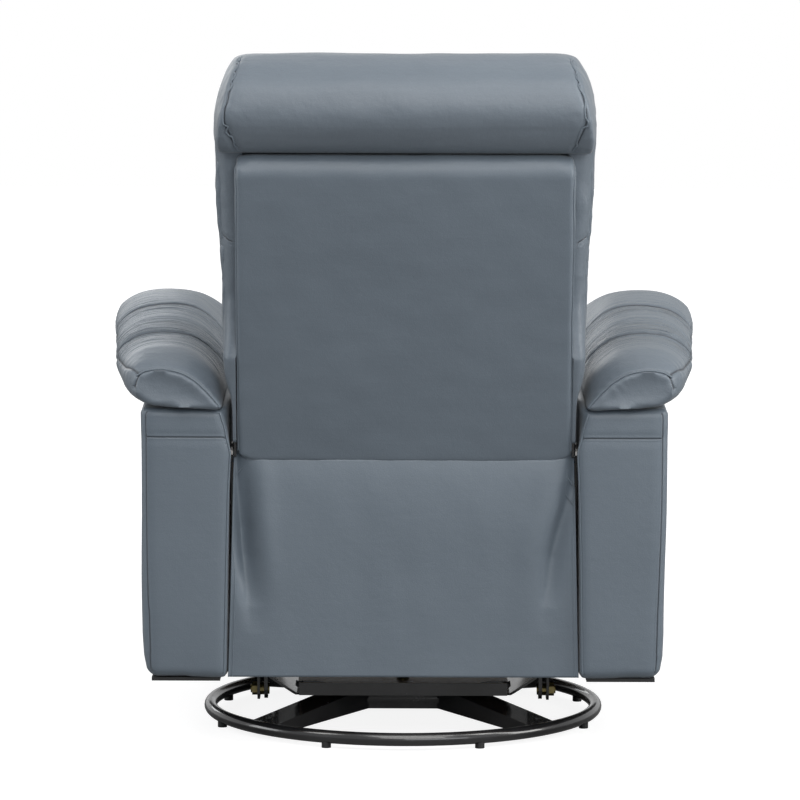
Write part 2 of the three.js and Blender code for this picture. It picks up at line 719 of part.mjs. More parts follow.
function footrestBracket() {
  const [inner, outer] = layer(4);
  const back = BRACE.face + LINK.thick;
  const ear = rounded([
    [BRACE.face, BRACE.earLow], [BRACE.earRear, BRACE.earLow], [BRACE.earRear, BRACE.earHigh], [BRACE.face, BRACE.earHigh],
  ], BRACE.corner);
  let bracket = block(-outer, outer, BRACE.face, back, BRACE.stripLow, BRACE.stripHigh);
  [-1, 1].forEach((side) => {
    const from = side > 0 ? inner : -outer;
    const to = side > 0 ? outer : -inner;
    bracket = bracket
      .add(prism('x', ear, from, to))
      .add(block(side > 0 ? BRACE.footInner : from, side > 0 ? to : -BRACE.footInner,
        BRACE.face, back, BRACE.footLow, BRACE.footHigh))
      .subtract(rod('x', LINK.closedPivot, LINK.pin + PIVOT_CLEARANCE, from - OVERRUN, to + OVERRUN))
      .subtract(slot(boardSlot, from - OVERRUN, to + OVERRUN));
  });
  return bracket;
}

add('footrest_bracket', footrestBracket(), painted());

function footrestBoard() {
  const outline = rounded([
    [-BOARD.half, BOARD.low], [BOARD.half, BOARD.low], [BOARD.half, BOARD.high], [-BOARD.half, BOARD.high],
  ], BOARD.corner);
  const back = BRACE.face - GAP;
  return prism('y', outline, back - BOARD.thick + GAP, back);
}

add('footrest_board', footrestBoard(), wood());

// A cushion lofted across the chair: full in the middle, drawn in towards its sides.
function crossCushion({ half, across, around, power, bulge = 0 }, centre, reach, point) {
  const rings = Array.from({ length: across }, (_, i) => {
    const share = eased(i, across);
    const swell = (1 - Math.abs(share) ** SIDE.power) ** (1 / SIDE.power);
    const draw = Math.max(swell || 0, SIDE.endShare);
    return Array.from({ length: around }, (_, j) => {
      const turn = (j + 0.5) / around * 2 * Math.PI;
      const [a, b] = squircle(turn, reach[0] * draw + bulge * (1 - share ** 2), reach[1] * draw, power);
      return point(share * half, centre[0] + a, centre[1] + b);
    });
  });
  return loft(rings);
}

function middle(low, high) {
  return (low + high) / 2;
}

const pad = crossCushion(
  PAD, [middle(PAD.front, PAD.rear), middle(PAD.low, PAD.high)],
  [(PAD.rear - PAD.front) / 2 * SIDE.pressedShare - PAD.bulge, (PAD.high - PAD.low) / 2],
  (x, y, z) => [x, Math.min(y, PAD.rear), z],
);
add('footrest_pad', pad, leather());

// Seat box, springs and rear rail

function seatBox() {
  const inner = BOX.outer - BOX.wall;
  const arch = rounded([
    [-BOX.archHalf, BOX.low - OVERRUN], [BOX.archHalf, BOX.low - OVERRUN], [BOX.archHalf, BOX.archTop],
    [-BOX.archHalf, BOX.archTop],
  ], BOX.archCorner);
  return block(-BOX.outer, BOX.outer, BOX.front, BOX.rear, BOX.low, BOX.top)
    .subtract(block(-inner, inner, BOX.front + BOX.wall, BOX.rear - BOX.wall, BOX.low - OVERRUN, BOX.top + OVERRUN))
    .subtract(block(-inner, inner, BOX.front - OVERRUN, BOX.rear + OVERRUN, BOX.low - OVERRUN, BOX.railLow))
    .subtract(prism('x', arch, -BOX.outer - OVERRUN, BOX.outer + OVERRUN));
}

add('seat_box', seatBox(), wood());

function seatSpring(x) {
  const start = BOX.front + SPRING.overlap / 2;
  const wire = SPRING.wire / 2;
  const left = [];
  const right = [];
  for (let i = 0; i <= SPRING.loops; i += 1) {
    const side = i % 2 === 0 ? 1 : -1;
    const low = start + i * SPRING.pitch;
    const high = i === SPRING.loops ? low : low + SPRING.pitch;
    left.push([x + side * SPRING.half - wire, low + (side > 0 ? wire : -wire)]);
    left.push([x + side * SPRING.half - wire, high + (side > 0 ? -wire : wire)]);
    right.push([x + side * SPRING.half + wire, low + (side > 0 ? -wire : wire)]);
    right.push([x + side * SPRING.half + wire, high + (side > 0 ? wire : -wire)]);
  }
  const outline = [...left.slice(0, -1), ...right.slice(0, -1).reverse()];
  return prism('z', outline, BOX.top + GAP, BOX.top + GAP + SPRING.wire);
}

for (let i = 0; i < SPRING.rows; i += 1) {
  add(`seat_spring_${i + 1}`, seatSpring((i - (SPRING.rows - 1) / 2) * SPRING.spacing), steel());
}

add('rear_rail', block(
  -REAR_RAIL.half, REAR_RAIL.half, REAR_RAIL.front, REAR_RAIL.rear, REAR_RAIL.low, REAR_RAIL.high,
), wood());

const seat = crossCushion(
  SEAT, [middle(SEAT.front, SEAT.rear), middle(SEAT.low, SEAT.high)],
  [(SEAT.rear - SEAT.front) / 2, (SEAT.high - SEAT.low) / 2 + SEAT.crown],
  (x, y, z) => [x, y, Math.max(z, SEAT.low)],
);
add('seat_cushion', seat, leather());

// Arm boxes

function armTop(y) {
  const share = (y - ARM_FRONT) / (ARM_REAR - ARM_FRONT);
  return ARM.frontTop + (ARM.rearTop - ARM.frontTop) * share;
}

function armBox() {
  const side = [
    [ARM_FRONT, BODY_BOTTOM], [ARM_REAR, BODY_BOTTOM], [ARM_REAR, ARM.rearTop], [ARM_FRONT, ARM.frontTop],
  ];
  const plan = rounded([
    [ARM_INNER, ARM_FRONT], [ARM_OUTER, ARM_FRONT], [ARM_OUTER, ARM_REAR], [ARM_INNER, ARM_REAR],
  ], ARM.corner);
  return prism('x', side, ARM_INNER, ARM_OUTER)
    .intersect(prism('z', plan, BODY_BOTTOM - OVERRUN, ARM.frontTop + OVERRUN));
}

const armForm = armBox();
add('arm_box_left', armForm, leather());
const cupSeat = block(
  -ARM_OUTER - OVERRUN, -ARM_OUTER + CUP.depth + GAP, CUP.front - GAP, CUP.rear + GAP, CUP.low - GAP, CUP.high + GAP,
);
add('arm_box_right', solid(mirrored(toGeometry(armForm))).subtract(cupSeat), leather());

addPair('arm_skid', block(
  ARM_INNER + SKID.inset, ARM_OUTER - SKID.inset, ARM_FRONT + SKID.inset, ARM_REAR - SKID.inset,
  BODY_BOTTOM - GAP - SKID.thick, BODY_BOTTOM - GAP,
), plastic);

// Arm pillows in three channels, higher and wider at the front, flat where they rest on the arm box

function armPillow() {
  const length = PILLOW.rear - PILLOW.front;
  const rings = Array.from({ length: PILLOW.stations }, (_, i) => {
    const y = middle(PILLOW.front, PILLOW.rear) + eased(i, PILLOW.stations) * length / 2;
    const share = (PILLOW.rear - y) / length;
    const outer = PILLOW.rearOuter + (PILLOW.frontOuter - PILLOW.rearOuter) * share;
    const toEnd = Math.min(y - PILLOW.front, PILLOW.rear - y) / PILLOW.endLength;
    const close = toEnd >= 1 ? 1 : PILLOW.endShare + (1 - PILLOW.endShare) * Math.sqrt(1 - (1 - toEnd) ** 2);
    const pinch = PILLOW.channels.reduce(
      (sum, at) => sum + Math.exp(-(((y - at) / PILLOW.channelWidth) ** 2)), 0,
    ) * PILLOW.channelDepth;
    const rest = armTop(Math.min(Math.max(y, ARM_FRONT), ARM_REAR)) + 2 * GAP;
    const crest = PILLOW.rearTop + (PILLOW.frontTop - PILLOW.rearTop) * share - pinch;
    const low = rest - PILLOW.overhangDrop;
    const centre = [middle(PILLOW.inner, outer), middle(low, crest)];
    const reach = [(outer - PILLOW.inner) / 2 - pinch / 3, (crest - low) / 2];
    return Array.from({ length: PILLOW.around }, (_, j) => {
      const turn = (j + 0.5) / PILLOW.around * 2 * Math.PI;
      const [a, b] = squircle(turn, reach[0], reach[1], PILLOW.power);
      return [centre[0] + a * (close + 1) / 2, y, rest + Math.max(centre[1] + b - rest, 0) * close];
    });
  });
  return loft(rings);
}

addPair('arm_pillow', armPillow(), leather);

// Back frame with its hinge brackets

function backFrame() {
  const outline = rounded([
    [-BACK.half, BACK.low], [BACK.half, BACK.low], [BACK.half, BACK.high], [-BACK.half, BACK.high],
  ], BACK.corner);
  return prism('y', outline, BACK.front, BACK.rear);
}

add('back_frame', leanedForm(backFrame()), wood());

function backBracket() {
  const inner = BACK.half + GAP;
  const outer = inner + BRACKET.thick;
  const upright = rounded([
    [BRACKET.low, BRACKET.front], [BRACKET.high, BRACKET.front], [BRACKET.high, BRACKET.rear], [BRACKET.low, BRACKET.rear],
  ].map(leaned), BRACKET.corner);
  return prism('x', upright.reverse(), inner, outer)
    .add(prism('x', capsule(RECLINE.pivot, leaned([BRACKET.low * 2, BRACKET.lobe * 2]), BRACKET.lobe), inner, outer))
    .subtract(rod('x', RECLINE.pivot, RECLINE.pin + PIVOT_CLEARANCE, inner - OVERRUN, outer + OVERRUN));
}

addPair('back_bracket', backBracket(), painted);

// Back cushions in the back's own frame, flat where they rest on the frame

function backCushion(values) {
  const rear = BACK.front - GAP;
  return leanedForm(crossCushion(
    values, [middle(values.front, rear), middle(values.low, values.high)],
    [(rear - values.front) / 2 * SIDE.pressedShare, (values.high - values.low) / 2],
    (x, n, t) => [x, Math.min(n, rear), t],
  ));
}

add('lumbar_cushion', backCushion(LUMBAR), leather());
add('middle_cushion', backCushion(MIDDLE), leather());

function headRoll() {
  const roll = crossCushion(
    HEAD, [middle(HEAD.front, HEAD.rear), middle(HEAD.low, HEAD.high)],
    [(HEAD.rear - HEAD.front) / 2 - HEAD.bulge, (HEAD.high - HEAD.low) / 2],
    (x, n, t) => [x, n, t],
  );
  const ledge = block(
    -HEAD.half - OVERRUN, HEAD.half + OVERRUN, BACK.front - GAP, HEAD.rear + OVERRUN, HEAD.low - OVERRUN, BACK.high + GAP,
  );
  return leanedForm(roll.subtract(ledge));
}

add('head_roll', headRoll(), leather());

// Loose flap between the back and the rear rail

function backFlap() {
  const bottom = ARM_INNER - INSIDE.flapHem;
  const top = ARM_INNER - INSIDE.flapTop;
  const front = REAR_RAIL.rear + GAP;
  const outline = [[-bottom, REAR_RAIL.low], [bottom, REAR_RAIL.low], [top, FLAP.high], [-top, FLAP.high]];
  return prism('y', outline, front, front + FLAP.thick);
}

add('back_flap', backFlap(), leather());

// Release cup and paddle

function releaseCup() {
  const face = -ARM_OUTER - GAP;
  const mouthFront = CUP.front + CUP.wall;
  const mouthRear = CUP.rear - CUP.wall;
  const bore = PADDLE.pin + PIVOT_CLEARANCE;
  return block(face, -ARM_OUTER + CUP.depth, CUP.front, CUP.rear, CUP.low, CUP.high)
    .add(block(face - CUP.rimThick, face, CUP.front - CUP.rim, CUP.rear + CUP.rim, CUP.low - CUP.rim, CUP.high + CUP.rim))
    .subtract(block(face - CUP.rimThick - OVERRUN, -ARM_OUTER + CUP.depth - CUP.wall, mouthFront, mouthRear,
      CUP.low + CUP.wall, CUP.high - CUP.wall))
    .subtract(rod('y', [PADDLE.axisInset - ARM_OUTER, PADDLE.axisZ], bore, CUP.front + CUP.wall / 2, CUP.rear - CUP.wall / 2));
}

add('release_cup', releaseCup(), plastic());

function releasePaddle() {
  const front = CUP.front + CUP.wall + PADDLE.side;
  const rear = CUP.rear - CUP.wall - PADDLE.side;
  const face = PADDLE.inset - ARM_OUTER;
  const axis = [PADDLE.axisInset - ARM_OUTER, PADDLE.axisZ];
  return block(face, face + PADDLE.thick, front, rear, PADDLE.bottom, PADDLE.top)
    .add(rod('y', axis, PADDLE.barrel, front, rear))
    .add(rod('y', axis, PADDLE.pin, CUP.front + CUP.wall / 2 + GAP, CUP.rear - CUP.wall / 2 - GAP));
}

add('release_paddle', releasePaddle(), plastic());

export default chair;
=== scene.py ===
import json
import math

import bmesh
import bpy
import numpy as np
from mathutils import Matrix, Vector, noise
from mathutils.bvhtree import BVHTree


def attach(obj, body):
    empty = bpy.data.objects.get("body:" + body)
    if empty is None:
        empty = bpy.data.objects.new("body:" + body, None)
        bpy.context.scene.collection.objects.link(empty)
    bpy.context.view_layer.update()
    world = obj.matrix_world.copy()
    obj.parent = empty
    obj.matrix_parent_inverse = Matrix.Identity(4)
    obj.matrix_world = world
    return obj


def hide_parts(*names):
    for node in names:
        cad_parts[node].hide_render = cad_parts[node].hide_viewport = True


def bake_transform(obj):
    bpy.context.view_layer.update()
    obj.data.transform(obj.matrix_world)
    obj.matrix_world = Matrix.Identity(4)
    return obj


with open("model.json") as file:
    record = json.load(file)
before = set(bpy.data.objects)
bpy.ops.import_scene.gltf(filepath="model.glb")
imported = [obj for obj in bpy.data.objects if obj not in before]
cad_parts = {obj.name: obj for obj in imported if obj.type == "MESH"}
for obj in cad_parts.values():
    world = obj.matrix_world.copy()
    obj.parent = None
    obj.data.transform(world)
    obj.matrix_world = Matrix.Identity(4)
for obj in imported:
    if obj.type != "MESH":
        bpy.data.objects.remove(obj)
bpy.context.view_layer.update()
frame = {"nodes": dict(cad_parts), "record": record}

# Camera, floor and studio light.
# The chair is seen from behind through a long lens, on a white sweep. Nine soft lamps stand round it: the
# key over the camera, a fill beside it, and weaker ones above, before and beside the chair.

MM = 0.001
scene = bpy.context.scene
scene.view_settings.view_transform = "Standard"

camera_data = bpy.data.cameras.new("photo_camera")
camera_data.sensor_width = 36.0
camera_data.lens = 182.35
camera_data.shift_x = -0.00504
camera_data.clip_end = 60.0
camera = bpy.data.objects.new("photo_camera", camera_data)
scene.collection.objects.link(camera)
camera_yaw, camera_pitch, camera_roll = math.radians(0.066), math.radians(6.094), math.radians(0.2)
camera_far, camera_high = 5.7699, 1.0714
look = Vector((
    -math.sin(camera_yaw) * math.cos(camera_pitch),
    -math.cos(camera_yaw) * math.cos(camera_pitch),
    -math.sin(camera_pitch),
))
camera_spot = (camera_far * math.sin(camera_yaw), camera_far * math.cos(camera_yaw), camera_high)
aimed = look.to_track_quat("-Z", "Y").to_matrix().to_4x4()
camera.matrix_world = Matrix.Translation(camera_spot) @ aimed @ Matrix.Rotation(camera_roll, 4, "Z")
scene.camera = camera

# name, place, aim, size, power and tint of each lamp
LAMPS = (
    ("front_fill", (-1.5, 4.4, 1.0), (0, 0.2, 0.5), (3.0, 1.6), 34, (0.95, 0.98, 1.0)),
    ("key_over_camera", (-0.4, 3.8, 2.9), (0, 0.2, 0.7), (2.8, 1.6), 62, (1.0, 0.98, 0.96)),
    ("top_over_seat", (-0.2, -0.7, 3.1), (0, 0.0, 0.6), (2.6, 1.5), 7, (1.0, 0.97, 0.93)),
    ("high_behind", (-0.2, 1.75, 3.3), (0, 0.25, 0.7), (2.4, 1.0), 34, (1.0, 0.99, 0.97)),
    ("over_arm_left", (1.7, 0.8, 2.3), (0.33, 0.0, 0.6), (0.9, 0.9), 13, (1.0, 0.99, 0.97)),
    ("over_arm_right", (-1.7, 0.8, 2.3), (-0.33, 0.0, 0.6), (0.9, 0.9), 15, (1.0, 0.99, 0.97)),
    ("fill_before_chair", (1.4, -3.6, 1.9), (0, 0.0, 0.5), (2.2, 1.6), 20, (0.97, 0.99, 1.0)),
    ("side_left", (3.0, 0.3, 1.3), (0, 0.1, 0.5), (1.2, 2.2), 26, (0.97, 0.99, 1.0)),
    ("side_right", (-3.0, 0.9, 1.4), (0, 0.1, 0.5), (1.2, 2.2), 52, (1.0, 0.985, 0.96)),
)
for name, at, aim, size, power, tint in LAMPS:
    lamp = bpy.data.lights.new(name, "AREA")
    lamp.shape = "RECTANGLE"
    lamp.size, lamp.size_y = size
    lamp.energy = power
    lamp.color = tint
    held = bpy.data.objects.new(name, lamp)
    held.location = at
    held.rotation_euler = (Vector(aim) - Vector(at)).to_track_quat("-Z", "Y").to_euler()
    scene.collection.objects.link(held)


def give(tree, node, inputs):
    """Sets a node's inputs, by name or number, to numbers or colours, or links them to outputs."""
    for name, value in inputs.items():
        socket = node.inputs[name.replace("_", " ")] if isinstance(name, str) else node.inputs[name]
        if isinstance(value, bpy.types.NodeSocket):
            tree.links.new(value, socket)
        else:
            socket.default_value = (*value, 1) if isinstance(value, tuple) else value


def add_node(tree, kind, **inputs):
    """A shader node with some of its inputs given. A space in an input's name is written as a low line."""
    node = tree.nodes.new("ShaderNode" + kind)
    give(tree, node, inputs)
    return node


def math_node(tree, operation, first, second=None, clamp=False):
    node = add_node(tree, "Math")
    node.operation = operation
    node.use_clamp = clamp
    give(tree, node, {0: first} if second is None else {0: first, 1: second})
    return node.outputs[0]


def mixed_shaders(tree, share, first, second):
    node = add_node(tree, "MixShader")
    give(tree, node, {0: share, 1: first, 2: second})
    return node.outputs[0]


def cleared_tree(owner):
    owner.use_nodes = True
    owner.node_tree.nodes.clear()
    return owner.node_tree


# a white backdrop for what is seen directly or through something, and in part for what is mirrored
MIRRORED_SHARE = 0.45
world = bpy.data.worlds.new("white_studio")
scene.world = world
tree = cleared_tree(world)
rays = add_node(tree, "LightPath").outputs
seen_rays = math_node(tree, "MAXIMUM", rays["Is Camera Ray"], rays["Is Transmission Ray"])
mirrored_rays = math_node(tree, "MULTIPLY", rays["Is Glossy Ray"], MIRRORED_SHARE)
backdrop = mixed_shaders(
    tree, math_node(tree, "MAXIMUM", seen_rays, mirrored_rays),
    add_node(tree, "Background", Color=(0.94, 0.97, 1.0), Strength=0.24).outputs[0],
    add_node(tree, "Background", Color=(1, 1, 1), Strength=1.0).outputs[0],
)
add_node(tree, "OutputWorld", Surface=backdrop)

FLOOR_HALF, FLOOR_LOW = 14.0, -0.0004
bm = bmesh.new()
bmesh.ops.create_grid(bm, x_segments=2, y_segments=2, size=FLOOR_HALF)
floor_mesh = bpy.data.meshes.new("floor")
bm.to_mesh(floor_mesh)
bm.free()
floor = bpy.data.objects.new("floor", floor_mesh)
floor.location = (0, 0, FLOOR_LOW)
scene.collection.objects.link(floor)
floor_material = bpy.data.materials.new("pale_floor")
tree = cleared_tree(floor_material)
# the sweep behind grows lighter away from the chair, so that it meets the white backdrop unseen
from_chair = add_node(tree, "VectorMath")
from_chair.operation = "LENGTH"
tree.links.new(add_node(tree, "TexCoord").outputs["Object"], from_chair.inputs[0])
rise = add_node(
    tree, "MapRange", Value=from_chair.outputs["Value"], From_Min=0.4, From_Max=1.5, To_Min=0.88, To_Max=1.1,
)
lit = add_node(tree, "Emission", Color=(1, 1, 1), Strength=rise.outputs["Result"])
shaded = add_node(tree, "BsdfDiffuse", Color=(0.3, 0.3, 0.305))
seen_floor = add_node(tree, "AddShader")
give(tree, seen_floor, {0: shaded.outputs[0], 1: lit.outputs[0]})
felt_floor = add_node(tree, "BsdfDiffuse", Color=(0.28, 0.28, 0.28))
camera_ray = add_node(tree, "LightPath").outputs["Is Camera Ray"]
add_node(tree, "OutputMaterial", Surface=mixed_shaders(
    tree, camera_ray, felt_floor.outputs[0], seen_floor.outputs[0],
))
floor_mesh.materials.append(floor_material)

# Outside back.
# A flat padded panel of blue-grey coated leather over the wooden back frame, wrapped over its top edge,
# welted down both sides and sewn to the loose flap below. It leans 13 degrees.


def shader_group(name, inputs, outputs):
    group = bpy.data.node_groups.new(name, "ShaderNodeTree")
    for socket, kind, value in inputs:
        made = group.interface.new_socket(socket, in_out="INPUT", socket_type=kind)
        if value is not None:
            made.default_value = value
    for socket in outputs:
        group.interface.new_socket(socket, in_out="OUTPUT", socket_type="NodeSocketFloat")
    return group, group.nodes.new("NodeGroupInput").outputs, group.nodes.new("NodeGroupOutput")


def stretched(tree, vector, scale):
    """The coordinates drawn out by a scale for each axis."""
    node = add_node(tree, "Mapping", Vector=vector)
    node.inputs["Scale"].default_value = scale
    return node.outputs["Vector"]


def noise_of(tree, vector, scale, **settings):
    return add_node(tree, "TexNoise", Vector=vector, Scale=scale, **settings).outputs["Fac"]


def swing(tree, value, middle, weight):
    """How far the value lies from its middle, times its weight."""
    return math_node(tree, "MULTIPLY", math_node(tree, "SUBTRACT", value, middle), weight)


# pebbled grain, soft stretch marks and handling patches of coated leather
skin, skin_in, skin_out = shader_group(
    "leather_grain",
    [("Vector", "NodeSocketVector", None), ("Slack", "NodeSocketFloat", 0.4)],
    ("Shade", "Gloss", "Height"),
)
pebble = add_node(skin, "TexVoronoi", Vector=skin_in["Vector"], Scale=620.0).outputs["Distance"]
pore = noise_of(skin, skin_in["Vector"], 1500.0, Detail=2.0)
dimple = noise_of(skin, skin_in["Vector"], 74.0, Detail=3.0, Roughness=0.55)
patch = noise_of(skin, skin_in["Vector"], 7.0, Detail=2.0)
drift = noise_of(skin, skin_in["Vector"], 2.3, Detail=1.0)
streak = noise_of(skin, stretched(skin, skin_in["Vector"], (0.06, 0.3, 1.0)), 330.0, Detail=2.0)
fine = math_node(skin, "MULTIPLY", pebble, 0.55)
fine = math_node(skin, "ADD", fine, math_node(skin, "MULTIPLY", pore, 0.2))
loose = swing(skin, dimple, 0.5, skin_in["Slack"])
fine = math_node(skin, "ADD", fine, math_node(skin, "MULTIPLY", loose, 5.0))
tone = 0.0
for value, middle, weight in ((patch, 0.5, 0.5), (drift, 0.5, 0.5), (pebble, 0.4, 0.35), (streak, 0.5, 0.3)):
    tone = math_node(skin, "ADD", tone, swing(skin, value, middle, weight))
give(skin, skin_out, {
    "Shade": math_node(skin, "ADD", tone, 0.5, clamp=True),
    "Gloss": math_node(skin, "ADD", 0.38, math_node(skin, "MULTIPLY", patch, 0.16)),
    "Height": fine,
})


def bell(tree, value, centre, width):
    """1 where the value meets the centre, falling off over the width."""
    off = math_node(tree, "DIVIDE", math_node(tree, "SUBTRACT", value, centre), width)
    squared = math_node(tree, "MULTIPLY", off, off)
    return math_node(tree, "EXPONENT", math_node(tree, "MULTIPLY", squared, -1.0))


# a sewn seam from the distance to its line in millimetres: a fold between two raised lips, and the fold's
# shade, which the material paints in as a dark colour
seamed, seam_in, seam_out = shader_group(
    "sewn_seam", [("Seam", "NodeSocketVector", None)], ("Crease", "Height"),
)
split = add_node(seamed, "SeparateXYZ", Vector=seam_in["Seam"])
seam_side, seam_near = split.outputs[0], split.outputs[1]
apart = math_node(seamed, "ABSOLUTE", seam_side)
crease = math_node(seamed, "MULTIPLY", bell(seamed, apart, 0.0, 0.9), seam_near)
lips = math_node(seamed, "MULTIPLY", bell(seamed, apart, 2.4, 1.5), seam_near)
lipped = math_node(seamed, "SUBTRACT", math_node(seamed, "MULTIPLY", lips, 0.3), crease)
give(seamed, seam_out, {"Crease": crease, "Height": lipped})

# fine gathers that run across the chair where a cover is shirred onto its seams
gathered, gather_in, gather_out = shader_group(
    "shirring", [("Vector", "NodeSocketVector", None), ("Amount", "NodeSocketFloat", 0.0)], ("Height",),
)
pleat = noise_of(
    gathered, stretched(gathered, gather_in["Vector"], (9.0, 150.0, 24.0)), 1.0,
    Detail=2.5, Roughness=0.55, Distortion=0.4,
)
sharp = math_node(gathered, "ABSOLUTE", math_node(gathered, "SUBTRACT", pleat, 0.5))
sharp = math_node(gathered, "MULTIPLY", sharp, -17.0)
give(gathered, gather_out, {"Height": math_node(gathered, "MULTIPLY", sharp, gather_in["Amount"])})


def new_material(name):
    """A material, its node tree, its surface shader and the coordinates of the piece that wears it."""
    made = bpy.data.materials.new(name)
    made.use_nodes = True
    tree = made.node_tree
    return made, tree, tree.nodes["Principled BSDF"], add_node(tree, "TexCoord").outputs["Object"]


def placed_group(tree, group, **inputs):
    node = add_node(tree, "Group")
    node.node_tree = group
    give(tree, node, inputs)
    return node.outputs


def held_in(tree, name):
    """What a mesh holds for each of its points under that name."""
    node = add_node(tree, "Attribute")
    node.attribute_name = name
    return node.outputs


def mixed_colours(tree, share, first, second):
    node = add_node(tree, "Mix")
    node.data_type = "RGBA"
    give(tree, node, {"Factor": share, "A": first, "B": second})
    return node.outputs["Result"]


# seams that cross each other are kept on layers of their own
SEAM_LAYERS = ("seam_1", "seam_2", "seam_3")
# painted shade: the dark colour that the material mixes into each seam's groove
CREASE_PAINTED_SHADE = (0.016, 0.02, 0.028)


def leather(name, dark, light, slack=0.4, bump=0.5):
    made, tree, surface, spot = new_material(name)
    grain = placed_group(tree, skin, Vector=spot, Slack=slack)
    shirr = placed_group(tree, gathered, Vector=spot, Amount=held_in(tree, "shirred")["Fac"])
    sewn = [placed_group(tree, seamed, Seam=held_in(tree, layer)["Vector"]) for layer in SEAM_LAYERS]
    shown = mixed_colours(tree, grain["Shade"], dark, light)
    for seam in sewn:
        # painted shade along each seam's groove, mixed into the leather's colour
        shown = mixed_colours(tree, math_node(tree, "MULTIPLY", seam["Crease"], 0.85), shown, CREASE_PAINTED_SHADE)
    normal = {}
    for group, strength, distance in (
        (shirr, 1.0, 0.001), *((seam, 0.8, 0.001) for seam in sewn), (grain, bump, 0.00032),
    ):
        raised = group["Height"]
        relief = add_node(tree, "Bump", Strength=strength, Distance=distance, Height=raised, **normal)
        normal = {"Normal": relief.outputs[0]}
    give(tree, surface, {
        "Base Color": shown, "Roughness": grain["Gloss"], **normal,
        "Specular IOR Level": 0.42, "Sheen Weight": 0.12, "Sheen Roughness": 0.45,
        "Coat Weight": 0.08, "Coat Roughness": 0.32,
    })
    return made


body_leather = leather("blue_grey_leather", (0.098, 0.122, 0.149), (0.126, 0.156, 0.188))
soft_leather = leather("slack_leather", (0.1, 0.123, 0.149), (0.134, 0.162, 0.193), slack=0.9, bump=0.6)

# the back's own frame: t runs up its lean from the hinge, n to the rear
HINGE_Y, HINGE_Z, LEAN = 215.0, 400.0, math.radians(13.0)


def leaned(x, t, n):
    y = HINGE_Y + t * math.sin(LEAN) + n * math.cos(LEAN)
    return Vector((x, y, HINGE_Z + t * math.cos(LEAN) - n * math.sin(LEAN)))


def ramp(values, start, length):
    """0 up to the start, rising to 1 over the length, or the other way where the length is negative."""
    return np.clip((values - start) / length, 0, 1)


def grid_block(size, step):
    """A closed cube from -1 to 1 whose sides are cut into an even grid, about one step to a face."""
    bm = bmesh.new()
    bmesh.ops.create_cube(bm, size=2)
    for axis in range(3):
        cuts = max(2, round(size[axis] / step)) - 1
        along = [e for e in bm.edges if abs(e.verts[0].co[axis] - e.verts[1].co[axis]) > 1e-6]
        bmesh.ops.subdivide_edges(bm, edges=along, cuts=cuts, use_grid_fill=True)
    return bm


def rounded_spot(unit, low, high, radii, gather=0.45):
    """Where a point of the unit cube lands on a block with its edges rounded by a radius for each axis."""
    spot, pull = [], []
    for u, lo, hi, radius in zip(unit, low, high, radii):
        eased = (1 - gather) * u + gather * math.sin(u * math.pi / 2)
        value = (lo + hi) / 2 + eased * (hi - lo) / 2
        inside = min(max(value, lo + radius), hi - radius)
        spot.append(inside)
        pull.append((value - inside) / radius if radius else 0.0)
    length = math.sqrt(sum(p * p for p in pull))
    if length > 1e-9:
        spot = [s + p / length * r for s, p, r in zip(spot, pull, radii)]
    return spot


def into_scene(name, mesh, material=None):
    if material:
        mesh.materials.clear()
        mesh.materials.append(material)
    for polygon in mesh.polygons:
        polygon.use_smooth = True
    piece = bpy.data.objects.new(name, mesh)
    scene.collection.objects.link(piece)
    return piece


def as_piece(name, bm, material):
    """Millimetres to metres, faces outward, and into the scene."""
    bmesh.ops.scale(bm, vec=(MM, MM, MM), verts=bm.verts)
    bmesh.ops.recalc_face_normals(bm, faces=bm.faces)
    mesh = bpy.data.meshes.new(name)
    bm.to_mesh(mesh)
    bm.free()
    return into_scene(name, mesh, material)


def upholster(piece, body, node=None):
    """Puts a leather piece on its body, in place of the CAD node that it dresses."""
    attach(piece, body)
    if node:
        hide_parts(node)


def vectors_of(rows, key):
    values = np.empty(len(rows) * 3)
    rows.foreach_get(key, values)
    return values.reshape(-1, 3)


def points_of(piece):
    return vectors_of(piece.data.vertices, "co")


def put_points(piece, points):
    piece.data.vertices.foreach_set("co", points.ravel())
    piece.data.update()


def smooth_line(points, step=6.0, closed=False):
    """A Catmull-Rom curve through the points, in even steps of millimetres."""
    given = [Vector(p) for p in points]
    count = len(given)
    out = []
    for i in range(count if closed else count - 1):
        if closed:
            a, b, c, d = (given[(i + k) % count] for k in (-1, 0, 1, 2))
        else:
            a, b, c, d = given[max(i - 1, 0)], given[i], given[i + 1], given[min(i + 2, count - 1)]
        parts = max(1, round((c - b).length / step))
        for k in range(parts):
            s = k / parts
            out.append(0.5 * (
                2 * b + (c - a) * s + (2 * a - 5 * b + 4 * c - d) * s ** 2 + (3 * b - a - 3 * c + d) * s ** 3
            ))
    if not closed:
        out.append(given[-1])
    return out


def away_from(points, out, line):
    """Each point's distance from the line, how far along it that is, its side, and if it is past an end."""
    ends = np.array([tuple(p) for p in line]) * MM
    best = np.full(len(points), 1e9)
    along = np.zeros(len(points))
    side = np.ones(len(points))
    run = 0.0
    for a, b in zip(ends[:-1], ends[1:]):
        edge = b - a
        length = float(np.linalg.norm(edge))
        if length < 1e-9:
            continue
        share = np.clip(((points - a) @ edge) / length ** 2, 0, 1)
        off = points - (a + share[:, None] * edge)
        gap = np.linalg.norm(off, axis=1)
        nearer = gap < best
        best = np.where(nearer, gap, best)
        along = np.where(nearer, run + share * length, along)
        side = np.where(nearer, np.where((off * np.cross(edge, out)).sum(1) < 0, -1.0, 1.0), side)
        run += length
    past = (along < 1e-7) | (along > run - 1e-7)
    return best, along, side, past


def note(piece, name, values):
    """Keeps a number or a vector for each point of the piece, for its material to read."""
    flat = values.ndim == 1
    kind = "FLOAT" if flat else "FLOAT_VECTOR"
    layer = piece.data.attributes.get(name) or piece.data.attributes.new(name, kind, "POINT")
    layer.data.foreach_set("value" if flat else "vector", values.astype(np.float32).ravel())
